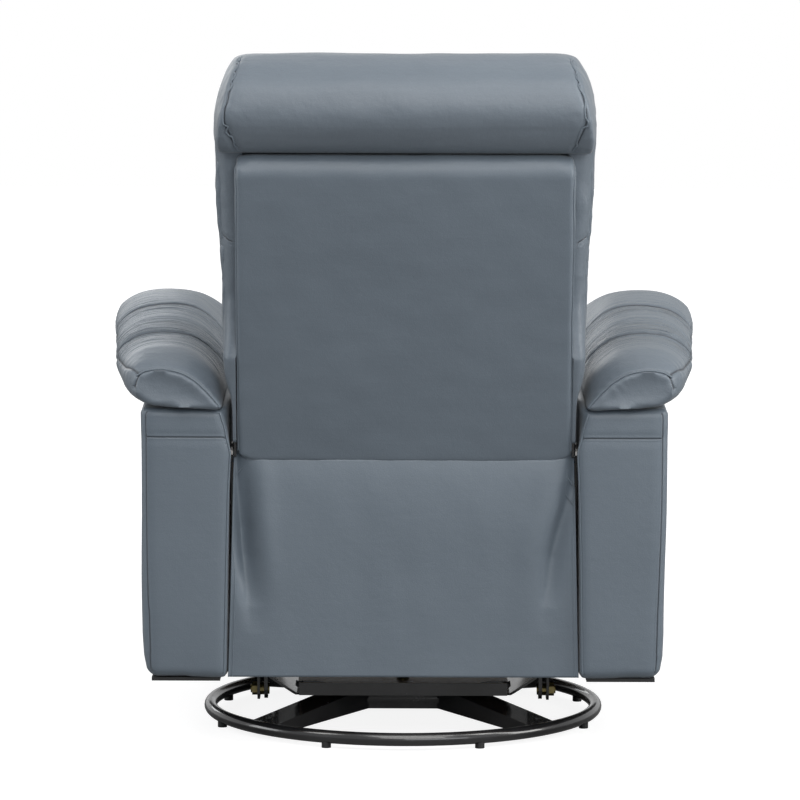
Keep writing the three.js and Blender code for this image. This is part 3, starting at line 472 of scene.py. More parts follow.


# a seam, with its painted shade, shows in full to 10 mm from its line, and no further than 16 mm
SEAM_REACH, SEAM_FADE = 0.016, 0.006
seams_held = {}


def sew(piece, line, depth, width, pucker=0.0, reach=16.0, pitch=11.0, wide=1.0, layer=0):
    """Pulls the cover in along a seam, gathers it on both sides and draws the seam itself, with painted shade
    in its groove, spread by wide.
    """
    points, out = points_of(piece), vectors_of(piece.data.vertex_normals, "vector")
    gap, along, side, past = away_from(points, out, line)
    near_line = np.exp(-(gap / (width * MM)) ** 2)
    pull = depth * MM * near_line
    if pucker:
        wander = np.array([noise.noise(Vector(p) * 30) for p in points])
        wave = np.sin(2 * math.pi * along / (pitch * MM) + 5 * wander) * (0.6 + wander)
        pull = pull - pucker * MM * wave * np.exp(-gap / (reach * MM)) * (1 - near_line)
    put_points(piece, points - out * pull[:, None])
    count = len(points)
    held_gap, held_side = seams_held.setdefault((piece.name, layer), (np.full(count, 1.0), np.ones(count)))
    nearer = (gap < held_gap) & ~past
    held_gap[nearer] = gap[nearer]
    held_side[nearer] = (side * gap / MM / wide)[nearer]
    near = np.clip((SEAM_REACH - held_gap) / SEAM_FADE, 0, 1)
    note(piece, SEAM_LAYERS[layer], np.stack([held_side, near, np.zeros(count)], 1))


def crumple(piece, height, scale, mask=None, ridged=False, seed=0.0):
    """Folds and dents in the cover: noise stretched by a scale for each axis, where the mask lets it."""
    points, out = points_of(piece), vectors_of(piece.data.vertex_normals, "vector")
    stretch = np.array(scale)
    field = np.array([noise.noise(Vector(p * stretch) + Vector((seed, seed, seed))) for p in points])
    if ridged:
        field = 0.5 - np.abs(field) * 2
    if mask is not None:
        field = field * mask(points / MM)
    put_points(piece, points + out * (field * height * MM)[:, None])


def on_surface(piece, line, lift=0.0):
    """The line laid on the piece, raised from it by lift millimetres."""
    bm = bmesh.new()
    bm.from_mesh(piece.data)
    tree = BVHTree.FromBMesh(bm)
    bm.free()
    laid = []
    for point in line:
        spot, way, _, _ = tree.find_nearest(Vector(point) * MM)
        laid.append((spot + way * lift * MM) / MM)
    return laid


def as_seen(piece):
    """The mesh that an object's curve or modifiers make."""
    bpy.context.view_layer.update()
    graph = bpy.context.evaluated_depsgraph_get()
    return bpy.data.meshes.new_from_object(piece.evaluated_get(graph))


def cord_of(name, line, radius):
    """A round welt or thread of leather along a line, as a closed tube."""
    curve = bpy.data.curves.new(name, "CURVE")
    curve.dimensions = "3D"
    spline = curve.splines.new("POLY")
    spline.points.add(len(line) - 1)
    for knot, point in zip(spline.points, line):
        knot.co = (*(Vector(point) * MM), 1)
    curve.bevel_depth = radius * MM
    curve.bevel_resolution = 2
    curve.use_fill_caps = True
    drawn = bpy.data.objects.new(name + "_line", curve)
    scene.collection.objects.link(drawn)
    mesh = as_seen(drawn)
    bpy.data.objects.remove(drawn)
    bpy.data.curves.remove(curve)
    return into_scene(name, mesh, body_leather)


def joined(name, parts):
    """Several lengths of trim made into one piece."""
    bm = bmesh.new()
    for part in parts:
        bm.from_mesh(part.data)
    mesh = bpy.data.meshes.new(name)
    bm.to_mesh(mesh)
    bm.free()
    for part in parts:
        bpy.data.objects.remove(part)
    return into_scene(name, mesh, body_leather)


PANEL_HALF, PANEL_LOW, PANEL_HIGH, PANEL_FRONT, PANEL_REAR = 229.0, 5.0, 438.5, 4.2, 46.5
PANEL_CROWN, PANEL_LIFT, PANEL_DROP = 3.2, 13.0, 5.5
# the panel's width over which its lower and its upper corners turn away
LOW_CORNER, HIGH_CORNER = 34.0, 30.0


def under_edge(x):
    """How far the panel's lower edge rises towards its corners."""
    return max(0.0, abs(x) - (PANEL_HALF - LOW_CORNER)) / LOW_CORNER


bm = grid_block((458, 433, 42), 5.0)
for vert in bm.verts:
    u, v, w = vert.co
    soft = min(1.0, max(0.0, (v - 0.35) / 0.4)) ** 1.5
    x, t, n = rounded_spot(
        (u, v, w), (-PANEL_HALF, PANEL_LOW, PANEL_FRONT), (PANEL_HALF, PANEL_HIGH, PANEL_REAR),
        (7.0, 8.0 + 20.0 * soft, 9.0 + 15.0 * soft),
    )
    if v < 0:
        t += PANEL_LIFT * under_edge(x) ** 2.6 * v ** 4
    corner = max(0.0, abs(x) - (PANEL_HALF - HIGH_CORNER)) / HIGH_CORNER * max(0.0, v - 0.6) / 0.4
    t -= PANEL_DROP * corner ** 2
    if w > 0:
        n += PANEL_CROWN * (1 - u * u) ** 0.7 * (1 - v * v) ** (0.5 if v < 0 else 1.3)
    vert.co = leaned(x, t, n)
back_panel = as_piece("outside_back_cover", bm, body_leather)


def top_corners(points):
    return ramp(np.abs(points[:, 0]), 190, 40) * ramp(points[:, 2], 780, 30)


crumple(back_panel, 1.6, (5.5, 5.5, 7.5), seed=3.1)
crumple(back_panel, 0.6, (24, 26, 34), seed=8.7)
crumple(back_panel, 1.6, (30, 30, 60), mask=top_corners, ridged=True, seed=2.2)
side_lines = [
    smooth_line([
        *(leaned(sign * (PANEL_HALF - 1.8), t, PANEL_REAR - 4.5) for t in (24, 120, 220, 320, 396)),
        leaned(sign * (PANEL_HALF - 3), 420, 30),
    ])
    for sign in (1, -1)
]
under_line = smooth_line([
    leaned(x, 6 + PANEL_LIFT * under_edge(x) ** 2.6, PANEL_REAR - 2.5) for x in range(-222, 223, 12)
])
for line in side_lines:
    sew(back_panel, on_surface(back_panel, line), depth=0.9, width=4.0)
sew(back_panel, on_surface(back_panel, under_line), depth=1.5, width=4.0, pucker=0.15, layer=1)
upholster(back_panel, "back", "back_frame")
back_welts = joined("outside_back_welts", [
    *(cord_of("welt", on_surface(back_panel, line, 0.35), 1.3) for line in side_lines),
    cord_of("welt", on_surface(back_panel, under_line, 0.1), 1.0),
])
upholster(back_welts, "back")

# Loose flap.
# One sheet of the same leather, sewn under the back panel and tacked to the rear rail, with doubled side
# hems. It hangs slack so that the back can recline, and folds at its sides.

FLAP_TOP, FLAP_LOW, FLAP_Y = 402.0, 101.0, 270.2
FLAP_HALF, FLAP_NARROW, LEATHER_THICK = 240.6, 7.6, 1.4
FLAP_ACROSS, FLAP_UP = 190, 100
# how far each fold lies from its hem, and how deep it is, from the flap's foot to its top
LEFT_FOLD = ((0.25, 0.36, 0.48, 0.6, 0.75, 0.9, 1.0), (30, 25, 19, 14, 10, 7, 5))
RIGHT_FOLD = ((0.3, 0.42, 0.57, 0.67, 0.78, 0.9, 1.0), (44, 38, 31, 23, 12, 3, 0))
FOLD_DEEP = ((0.2, 0.32, 0.42, 0.55, 0.68, 0.82, 0.95, 1.0), (0.0, 0.15, 0.5, 0.9, 1.0, 0.8, 0.5, 0.3))
# each fold's depth, and how wide it is on the side of its hem and on the other side
LEFT_SWEEP, RIGHT_SWEEP = (19.0, 10, 19), (13.0, 18, 11)
# the low ridge beside each fold: its height, its distance from the fold and its width
RIDGE_HIGH, RIDGE_OFF, RIDGE_WIDE = 2.0, 34, 16


def flap_half(v):
    return FLAP_HALF - FLAP_NARROW * v ** 0.85


bm = bmesh.new()
bmesh.ops.create_grid(bm, x_segments=FLAP_ACROSS, y_segments=FLAP_UP, size=1.0)
for vert in bm.verts:
    u, v = vert.co.x, (vert.co.y + 1) / 2
    u = 0.55 * u + 0.45 * math.sin(u * math.pi / 2)
    half = flap_half(v)
    x = u * half
    edge = half - abs(x)
    # the top corners wrap round the lower corners of the panel
    wrap = math.exp(-(edge / 7) ** 2)
    z = FLAP_LOW + (FLAP_TOP - FLAP_LOW) * v
    z += (12 * (max(0.0, abs(x) - 196) / 34) ** 2.6 + 15 * wrap) * v ** 6
    y = FLAP_Y - 8.0 * v ** 9 - 9 * wrap * v ** 5
    # a fold starts at each top corner and runs down along the hem, dying out below the middle
    fold, (height, hem_side, far_side) = (LEFT_FOLD, LEFT_SWEEP) if u > 0 else (RIGHT_FOLD, RIGHT_SWEEP)
    off = edge - float(np.interp(v, *fold))
    deep = float(np.interp(v, *FOLD_DEEP))
    y -= height * deep * math.exp(-(off / (hem_side if off < 0 else far_side)) ** 2)
    y += RIDGE_HIGH * deep * math.exp(-((off - RIDGE_OFF) / RIDGE_WIDE) ** 2)
    y += 2.2 * noise.noise(Vector((x * 0.005, z * 0.004, 2.0)))
    y += 0.6 * noise.noise(Vector((x * 0.025, z * 0.018, 5.0)))
    vert.co = (x, y, z)
bmesh.ops.recalc_face_normals(bm, faces=bm.faces)
flap = as_piece("back_flap_leather", bm, body_leather)
thick = flap.modifiers.new("leather_thickness", "SOLIDIFY")
thick.thickness = LEATHER_THICK * MM
thick.offset = 0
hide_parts("back_flap")


def shifted(line, dx, dy=0.0):
    return [(x - math.copysign(dx, x), y + dy, z) for x, y, z in line]


# each side is turned over round a thick edge, and held by a thread a hem's width from it
HEM, HEM_EDGE, HEM_THREAD, HEM_STEPS = 5.5, 1.25, 0.55, 24
hem_parts = []
for sign in (1, -1):
    flap_edge = [
        (sign * flap_half(k / HEM_STEPS), FLAP_Y, FLAP_LOW + (FLAP_TOP - FLAP_LOW) * k / HEM_STEPS)
        for k in range(HEM_STEPS)
    ]
    hem_parts.append(cord_of("hem", shifted(on_surface(flap, flap_edge), 0.6, 0.4), HEM_EDGE))
    thread_line = on_surface(flap, shifted(flap_edge, HEM))
    hem_parts.append(cord_of("hem", shifted(thread_line, 0, 0.75), HEM_THREAD))
flap_hems = joined("back_flap_hems", hem_parts)
for piece in (flap, flap_hems):
    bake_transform(piece)

# Back cushions.
# Three padded sections in one leather cover over the front of the frame: a tall lumbar one, a middle one
# and a head roll that laps over the top of the panel. Each is filled foam under slack leather.


def foam_form(size, low, high, front_round, crown, width_of, step=8.5, tilt=0.0):
    """A cushion against the panel: nearly flat behind and at its ends, full and rounded in front."""
    rear_round = (5, 2.2, 6)
    bm = grid_block(size, step)
    half = high[0]
    for vert in bm.verts:
        u, v, w = vert.co
        ahead = max(0.0, min(1.0, (-0.1 - w) / 0.9))
        radii = [a + (b - a) * ahead for a, b in zip(rear_round, front_round)]
        x, t, n = rounded_spot((u, v, w), low, high, radii)
        full = (1 - u ** 4) ** 0.5 * (1 - v * v) ** 0.5
        n -= crown * full * max(0.0, -w) ** 1.5 * (1 - tilt * v)
        x *= width_of(t) / half
        x += math.copysign(1.2 * (1 - v * v) * abs(u) ** 6, u)
        vert.co = leaned(x, t, n)
    return bm


def outline_reach(outline, centre, step, scale=1):
    """How far a drawn outline lies from its centre, by the turn round it. Shares are drawn larger."""
    ring = smooth_line([(a * scale, b * scale, 0) for a, b in outline], step=step, closed=True)
    turns = np.array([math.atan2(p.y / scale - centre[1], p.x / scale - centre[0]) for p in ring])
    reach = np.array([math.hypot(p.x / scale - centre[0], p.y / scale - centre[1]) for p in ring])
    order = np.argsort(turns)
    return turns[order], reach[order]


def section_form(profile, centre, dome, end, start, step, size, width_of, grip, place=leaned):
    """A cushion across the chair whose section follows a drawn profile, drawn in a little at its ends."""
    profile_reach = outline_reach(profile, centre, 3.0)
    bm = grid_block(size, step)
    for vert in bm.verts:
        u, v, w = vert.co
        rho = max(abs(v), abs(w))
        turn = math.atan2(v * size[1], w * size[2])
        out = float(np.interp(turn, *profile_reach, period=2 * math.pi)) * rho
        past = min(1.0, max(0.0, (abs(u) - start) / (1 - start)))
        if math.sin(turn) > 0:
            round_end = 1 - math.sqrt(max(0.0, 1 - past * past))
            out *= 1 - (1 - end) * round_end * min(1.0, math.sin(turn) * 3)
        n, t = centre[0] + out * math.cos(turn), centre[1] + out * math.sin(turn)
        wide = width_of(t)
        x = math.copysign((grip * abs(u) + (1 - grip) * math.sin(abs(u) * math.pi / 2)) * (wide - dome), u)
        if abs(u) > 0.999:
            x = math.copysign(wide - dome * rho ** 3, u)
        vert.co = place(x, t, n)
    return bm


def keep_shape(piece):
    """Makes what the piece's modifiers show its own mesh."""
    made = as_seen(piece)
    piece.modifiers.clear()
    old, piece.data = piece.data, made
    bpy.data.meshes.remove(old)


CLOTH_FRAMES = 20


def swell(piece, voxel, cap, hold):
    """Blows a cover up over its filling as cloth. No point moves further than cap millimetres."""
    bpy.context.view_layer.objects.active = piece
    cut = piece.modifiers.new("even_cloth", "REMESH")
    cut.mode = "VOXEL"
    cut.voxel_size = voxel * MM
    keep_shape(piece)
    start = points_of(piece)
    kept = piece.vertex_groups.new(name="held")
    weights = hold(start / MM)
    for level in (0.25, 0.5, 0.75, 1.0):
        chosen = np.flatnonzero((weights > level - 0.25) & (weights <= level))
        if len(chosen):
            kept.add([int(i) for i in chosen], level, "REPLACE")
    cloth = piece.modifiers.new("blown", "CLOTH")
    rules = cloth.settings
    rules.quality = 4
    rules.mass = 0.35
    rules.tension_stiffness = rules.compression_stiffness = 20
    rules.shear_stiffness = 8
    rules.bending_stiffness = 0.6
    rules.use_pressure = True
    rules.uniform_pressure_force = 4.0
    rules.effector_weights.gravity = 0
    rules.vertex_group_mass = "held"
    cloth.point_cache.frame_start = 1
    cloth.point_cache.frame_end = CLOTH_FRAMES
    for number in range(1, CLOTH_FRAMES + 1):
        scene.frame_set(number)
    keep_shape(piece)
    scene.frame_set(1)
    moved = points_of(piece) - start
    length = np.linalg.norm(moved, axis=1)
    limit = np.minimum(1, cap * MM / np.maximum(length, 1e-9))
    put_points(piece, start + moved * limit[:, None])
    finer = piece.modifiers.new("finer", "SUBSURF")
    finer.levels = finer.render_levels = 1
    keep_shape(piece)
    piece.vertex_groups.clear()
    for polygon in piece.data.polygons:
        polygon.use_smooth = True


def unleaned(points):
    """Chair places in millimetres to x, t and n of the back's own frame."""
    y, z = points[:, 1] - HINGE_Y, points[:, 2] - HINGE_Z
    return points[:, 0], y * math.sin(LEAN) + z * math.cos(LEAN), y * math.cos(LEAN) - z * math.sin(LEAN)


# the cushions' rear faces stop just before the panel
REST = 3.7


def press_back(piece):
    """Keeps the cover off the panel behind it."""
    x, t, n = unleaned(points_of(piece) / MM)
    n = np.minimum(n, REST)
    y = HINGE_Y + t * math.sin(LEAN) + n * math.cos(LEAN)
    z = HINGE_Z + t * math.cos(LEAN) - n * math.sin(LEAN)
    put_points(piece, np.stack([x, y, z], 1) * MM)


# half the width of each section, by its height up the lean
LUMBAR_WIDE = ((15, 50, 78, 108, 140, 200, 262, 298), (229, 231, 236, 245.5, 248, 247, 248, 250.3))
MIDDLE_WIDE = ((300, 312, 345, 390, 415, 427), (250.3, 251.5, 253.5, 254.5, 254, 253))
ROLL_WIDE = (
    (428, 440, 460, 480, 500, 520, 540, 552, 562),
    (254.5, 256.5, 258.5, 257.5, 254, 249, 243.5, 237.5, 229),
)


def lumbar_width(t):
    return float(np.interp(t, *LUMBAR_WIDE))


def middle_width(t):
    return float(np.interp(t, *MIDDLE_WIDE))


def roll_width(t):
    return float(np.interp(t, *ROLL_WIDE))


lumbar = as_piece("lumbar_cushion_cover", foam_form(
    (490, 292, 112), (-246, 15, -98), (246, 307.8, REST), (34, 30, 40), 20.0, lumbar_width, tilt=0.35,
), soft_leather)
middle = as_piece("middle_cushion_cover", foam_form(
    (500, 119, 108), (-252, 308.2, -100), (252, 428.0, REST), (30, 26, 38), 16.0, middle_width, step=8.0,
), soft_leather)

# n to the rear and t up: before the panel, over its top edge, round the rear, over the top, down the front
ROLL_PROFILE = (
    (REST, 429), (REST, 438.6), (10, 438.4), (18, 438.6), (27, 441.5), (35.5, 448), (43.5, 459), (50, 474),
    (53.3, 489), (52.6, 503), (48.3, 517), (40.6, 530), (29.8, 541), (16, 550.5), (0, 558), (-18, 562.5),
    (-40, 562), (-66, 555), (-90, 541), (-109, 520), (-119, 495), (-119, 466), (-110, 443), (-92, 431),
    (-60, 428.6), (-28, 428.4),
)
head = as_piece("head_roll_cover", section_form(
    ROLL_PROFILE, (-30.0, 494.0), 7.0, 0.93, 0.86, 7.0, (512, 133, 178), roll_width, 0.75,
), soft_leather)


def held_behind(points):
    """The cover is sewn down behind, and tight over its rear half."""
    return ramp(unleaned(points)[2], -52, 26)


def above_panel(points):
    return ramp(points[:, 2], 828, 26)


def near_ends(points):
    return ramp(np.abs(points[:, 0]), 205, 50) ** 1.5


swell(lumbar, voxel=6.0, cap=22.0, hold=held_behind)
swell(middle, voxel=5.5, cap=20.0, hold=held_behind)
swell(head, voxel=5.0, cap=16.0, hold=held_behind)
for piece in (lumbar, middle):
    press_back(piece)
crumple(lumbar, 2.4, (9, 9, 11), seed=1.7)
crumple(middle, 2.4, (9, 9, 14), seed=4.2)
crumple(head, 3.6, (4.2, 10, 10), mask=above_panel, seed=6.3)
crumple(head, 1.0, (18, 34, 34), mask=lambda p: ramp(p[:, 2], 828, 20), seed=2.3)
for piece, seed in ((lumbar, 11.0), (middle, 12.0), (head, 13.0)):
    crumple(piece, 1.2, (12, 30, 30), mask=near_ends, ridged=True, seed=seed)

# x, t and n along the seam between the roll's rear and its rounded ends
ROLL_SEAM = (
    (228, 562, -30), (231, 554, 8), (237, 537, 34), (242, 517, 49), (241.5, 492, 57), (233, 465, 52),
    (225, 445, 36),
)
roll_seams = [smooth_line([leaned(sign * x, t, n) for x, t, n in ROLL_SEAM]) for sign in (1, -1)]
for line in roll_seams:
    sew(head, on_surface(head, line), depth=2.4, width=4.5, pucker=0.3, reach=20, pitch=25)
roll_welts = joined("head_roll_welts", [
    cord_of("welt", on_surface(head, line, 0.5), 1.3) for line in roll_seams
])
for piece, node in ((lumbar, "lumbar_cushion"), (middle, "middle_cushion"), (head, "head_roll")):
    upholster(piece, "back", node)
upholster(roll_welts, "back")

# Side facings of the back.
# One boxing panel a side runs from under the edge of the outside back round to the cushions, over the steel
# brackets, and narrows to clear the arm when the back goes down. Each is sewn in two lengths, with a joint.

# the facing's outside from the middle of the chair, by its height up the lean
FACING_WIDE = (
    (36, 92, 125, 192, 260, 322, 370, 440, 468, 492, 512),
    (234.6, 234.8, 245.5, 248.5, 250, 252.5, 254.8, 257, 258, 253, 243),
)
FACING_MID, FACING_T, FACING_TALL, FACING_DEEP = -16.0, 274, 238, 32
# its inside and its rear edge higher up, and low down, where it takes in the bracket's plate
FACING_INSIDE, FACING_EDGE, PLATE_INSIDE, PLATE_EDGE, PLATE_DEEP = 219, 222, 229.4, 234.2, 28.5
FACING_JOINT = ((250, 327, -34), (252.5, 325, -16), (246, 319, 2), (232, 312, 12))


def above_arms(points):
    return ramp(points[:, 2], 560, 60)


for sign, side in ((1, "left"), (-1, "right")):
    bm = grid_block((30, 476, 66), 4.0)
    for vert in bm.verts:
        u, v, w = vert.co
        t = FACING_T + FACING_TALL * v
        low_down = min(1.0, max(0.0, (240 - t) / 84)) ** 1.5
        wide = sum(float(np.interp(t + shift, *FACING_WIDE)) for shift in (-14, -7, 0, 7, 14)) / 5
        turn = math.radians(115) * (1 - w) / 2
        top_in = 0.5 + 0.5 * math.sqrt(max(0.0, 1 - (max(0.0, v - 0.86) / 0.14) ** 2))
        deep = FACING_DEEP + (PLATE_DEEP * low_down if math.cos(turn) > 0 else 0)
        n = FACING_MID + deep * math.cos(turn) * top_in
        bent = max(0.0, math.sin(turn))
        tucked = FACING_EDGE + (wide - FACING_EDGE) * bent ** 0.8
        plain = PLATE_EDGE + (wide - PLATE_EDGE) * min(1.0, bent * 1.6) ** 0.8
        x = tucked + (plain - tucked) * low_down
        inner = FACING_INSIDE + (PLATE_INSIDE - FACING_INSIDE) * low_down
        x = inner + (x - inner) * (u + 1) / 2
        x += 0.7 * noise.noise(Vector((sign * 4.0, t * 0.02, n * 0.04))) * max(0.0, u) * (1 - low_down)
        vert.co = leaned(sign * x, t, n)
    facing = as_piece("back_side_facing_" + side, bm, soft_leather)
    crumple(facing, 1.6, (10, 16, 12), mask=above_arms, seed=15.0 + sign)
    crumple(facing, 1.0, (16, 40, 30), mask=above_arms, ridged=True, seed=17.0 + sign)
    joint_line = smooth_line([leaned(sign * x, t, n) for x, t, n in FACING_JOINT])
    sew(facing, on_surface(facing, joint_line), depth=1.6, width=3.5, pucker=0.3, pitch=14)
    upholster(facing, "back")

# Arms.
# A wooden box on each side, padded outside and upholstered in leather, with a piped rear panel in two
# pieces. A black plastic skid closes the underside. The sitter's right arm holds the release cup.

ARM_INNER, ARM_OUTER, ARM_FRONT, ARM_REAR, ARM_LOW = 240.3, 357.6, -330.0, 280.0, 100.2
ARM_TOP_REAR, ARM_TOP_FRONT = 471.6, 519.6
CUP_FRONT, CUP_REAR, CUP_LOW, CUP_HIGH, CUP_DEEP = -112.6, 8.6, 329.4, 392.6, 22.0
# how far out the outer side stands, and how the rear edge of the inner side waves, by the height
ARM_REACH = ((100, 104, 111, 130, 160, 428, 450), (347, 350, 353.5, 357, 358.5, 360.5, 361))
INNER_WAVE = ((100, 250, 357, 412, 438, 458, 472), (3.0, 0.5, -2.4, -5.2, 0.5, 6.0, 8.0))
TOP_TILT = ((240, 358), (-2.5, 2.5))
# the block is rounded at this height, and then fitted between the foot and the sloping top
BLOCK_TALL = 1000


def arm_top(y):
    share = (y - ARM_FRONT) / (ARM_REAR - ARM_FRONT)
    return ARM_TOP_FRONT + (ARM_TOP_REAR - ARM_TOP_FRONT) * share


def cut_pocket(bm):
    """A recess for the release cup, in the outer side of the sitter's right arm."""
    for spot, way in (
        ((0, CUP_FRONT, 0), (0, 1, 0)), ((0, CUP_REAR, 0), (0, 1, 0)),
        ((0, 0, CUP_LOW), (0, 0, 1)), ((0, 0, CUP_HIGH), (0, 0, 1)),
    ):
        bmesh.ops.bisect_plane(bm, geom=bm.verts[:] + bm.edges[:] + bm.faces[:], plane_co=spot, plane_no=way)
    mouth = []
    for face in bm.faces:
        x, y, z = face.calc_center_median()
        if x < -ARM_OUTER + 8 and CUP_FRONT < y < CUP_REAR and CUP_LOW < z < CUP_HIGH:
            mouth.append(face)
    made = bmesh.ops.extrude_face_region(bm, geom=mouth)["geom"]
    for vert in [g for g in made if isinstance(g, bmesh.types.BMVert)]:
        vert.co.x = -ARM_OUTER + CUP_DEEP
    bmesh.ops.delete(bm, geom=mouth, context="FACES")


def arm_form():
    """The left arm: rounded most along the foot of its outer side."""
    bm = grid_block((117, 610, 400), 7.0)
    for vert in bm.verts:
        u, v, w = vert.co
        x, y, z = rounded_spot(
            (u, v, w), (ARM_INNER, ARM_FRONT, 0), (ARM_OUTER, ARM_REAR, BLOCK_TALL),
            (10 if u > 0 else 7, 15 if u > 0 else 10, 34 if w < 0 else 24),
        )
        share = z / BLOCK_TALL
        z = ARM_LOW + (arm_top(y) - ARM_LOW) * share
        reach_out = float(np.interp(z, *ARM_REACH))
        x = ARM_INNER + (x - ARM_INNER) * (reach_out - ARM_INNER) / (ARM_OUTER - ARM_INNER)
        rear = math.exp(-((ARM_REAR - y) / 16) ** 2)
        if u < 0.2:
            x += float(np.interp(z, *INNER_WAVE)) * rear * (0.2 - u) / 1.2
        z += float(np.interp(x, *TOP_TILT)) * max(0.0, share) ** 8 * rear
        if v > 0.999:
            y += 1.6 * (1 - u * u) * (1 - w ** 4)
        vert.co = (x, y, z)
    return bm


def arm_outside(points):
    """1 on the outer side, and 0 within reach of the inner side."""
    return ramp(np.abs(points[:, 0]), 262, 40)


def clear_of_pocket(points):
    gap = np.maximum(np.abs(points[:, 1] + 52) - 72, np.abs(points[:, 2] - 361) - 42)
    return arm_outside(points) * ramp(gap, 0, 25)


# the left arm's seams: across its rear, down the rear's outer edge and inner edge, and down both front edges
ACROSS_SEAM = [(x, ARM_REAR, 433) for x in (240, 246, 270, 300, 330, 352)]
OUTER_SEAM = [(x, ARM_REAR - 1.5, z) for x, z in (
    (350, 472), (353, 461), (353, 432), (352, 315), (348.5, 188), (347, 108),
)]
INNER_SEAM = [(x, ARM_REAR - 1, z) for x, z in (
    (251, 468), (246, 455), (240.5, 437), (236, 412), (237.5, 380), (239, 350), (241.5, 250), (244.5, 106),
)]
FRONT_SEAMS = [[(x, ARM_FRONT + 2, z) for z in (112, 250, 400, 505)] for x in (247, 351)]

arm_covers = []
for sign, side in ((1, "left"), (-1, "right")):
    bm = arm_form()
    if sign < 0:
        bmesh.ops.scale(bm, vec=(-1, 1, 1), verts=bm.verts)
        bmesh.ops.reverse_faces(bm, faces=bm.faces)
        cut_pocket(bm)
    arm_covers.append((sign, side, as_piece("arm_cover_" + side, bm, body_leather)))
for sign, side, piece in arm_covers:
    crumple(piece, 2.2, (5, 5, 6), mask=arm_outside if sign > 0 else clear_of_pocket, seed=2.0 + sign)
    across, outer, inner = (
        on_surface(piece, smooth_line([(sign * x, y, z) for x, y, z in line]))
        for line in (ACROSS_SEAM, OUTER_SEAM, INNER_SEAM)
    )
    sew(piece, across, depth=1.4, width=5.0, pucker=0.12, layer=1)
    sew(piece, outer, depth=2.0, width=4.5, pucker=0.25, reach=12, pitch=23)
    sew(piece, inner, depth=0.8, width=4.0)
    front = [on_surface(piece, smooth_line([(sign * x, y, z) for x, y, z in line])) for line in FRONT_SEAMS]
    for line in front:
        sew(piece, line, depth=1.2, width=4.0)
    trim = joined("arm_welts_" + side, [
        cord_of("welt", on_surface(piece, line, lift), radius)
        for line, lift, radius in ((inner, 0.6, 1.4), (front[0], 0.3, 1.2), (front[1], 0.3, 1.2))
    ])
    upholster(piece, "seat", "arm_box_" + side)
    upholster(trim, "seat")

# Arm pillows.
# Stuffed leather pads in three channels, shirred across, wider and higher at the front. Each laps over the
# outside of its arm, and an arched cap closes its rear end above a dark crease.

PILLOW_REAR, PILLOW_FRONT, PILLOW_INNER = 286.0, -345.0, 249.2
CHANNELS = (95.0, -93.0)
# the body's and the cap's outline seen from behind, in shares of the width and of the height above the arm
OUTLINE_SHARES = (
    (0.0, 0.0), (0.0, 0.16), (0.035, 0.38), (0.10, 0.58), (0.2, 0.78), (0.31, 0.92), (0.45, 0.99),
    (0.58, 1.0), (0.72, 0.97), (0.84, 0.88), (0.94, 0.72), (0.99, 0.54), (0.985, 0.38), (0.94, 0.22),
    (0.85, 0.09), (0.73, 0.01), (0.5, 0.0), (0.25, 0.0),
)
CAP_SHARES = (
    (0.0, 0.0), (0.0, 0.08), (0.04, 0.2), (0.1, 0.33), (0.19, 0.52), (0.29, 0.7), (0.43, 0.88), (0.58, 0.97),
    (0.7, 1.0), (0.84, 0.97), (0.96, 0.86), (1.0, 0.7), (1.0, 0.45), (0.98, 0.27), (0.9, 0.14), (0.78, 0.03),
    (0.5, 0.0), (0.25, 0.0),
)
CORE = (0.5, 0.42)
body_reach, cap_reach = (outline_reach(shares, CORE, 2.0, 100) for shares in (OUTLINE_SHARES, CAP_SHARES))
# the height of the crest and the place of the outer edge, from the front of the pillow to its rear
PILLOW_CREST = (
    (-345, -330, -300, -200, -93, 0, 95, 190, 225, 250, 270, 286),
    (572, 583, 592, 595, 588, 577, 563, 557, 553, 546, 538, 527),
)
PILLOW_WIDE = (
    (-345, -330, -300, -200, -93, 0, 95, 190, 240, 265, 286),
    (418, 426, 432, 429, 421, 414, 406, 396, 389, 382, 369),
)


def pillow_point(x_share, z_share, y):
    crest, wide = float(np.interp(y, *PILLOW_CREST)), float(np.interp(y, *PILLOW_WIDE))
    sink = sum(math.exp(-abs(y - at) / 4.0) * 7.0 + math.exp(-((y - at) / 30) ** 2) * 4.0 for at in CHANNELS)
    full = max(0.0, z_share) * (1 - max(0.0, x_share - 0.9) * 4)
    tilt = (x_share - 0.35) * 6.5 * math.exp(-((PILLOW_REAR - y) / 60) ** 2)
    rest = arm_top(min(max(y, ARM_FRONT), ARM_REAR)) + 1.2 + tilt
    z = rest + z_share * (crest - rest) - sink * max(0.0, full)
    x = PILLOW_INNER + x_share * (wide - PILLOW_INNER) - 0.45 * sink * max(0.0, x_share - 0.6) / 0.4
    return x, z


def on_pillow(turn, y, scale=1.0):
    to_cap = max(0.0, min(1.0, (y - 236) / 46)) ** 1.6
    reach = float(np.interp(turn, *body_reach, period=2 * math.pi)) * (1 - to_cap)
    reach = (reach + float(np.interp(turn, *cap_reach, period=2 * math.pi)) * to_cap) * scale
    x, z = pillow_point(CORE[0] + reach * math.cos(turn), CORE[1] + reach * math.sin(turn), y)
    return Vector((x, y, z))


def round_pillow(turns, y, scale=1.0):
    """A line round the pillow at one place along it, by its turns in degrees."""
    return smooth_line([on_pillow(math.radians(turn), y, scale) for turn in turns])


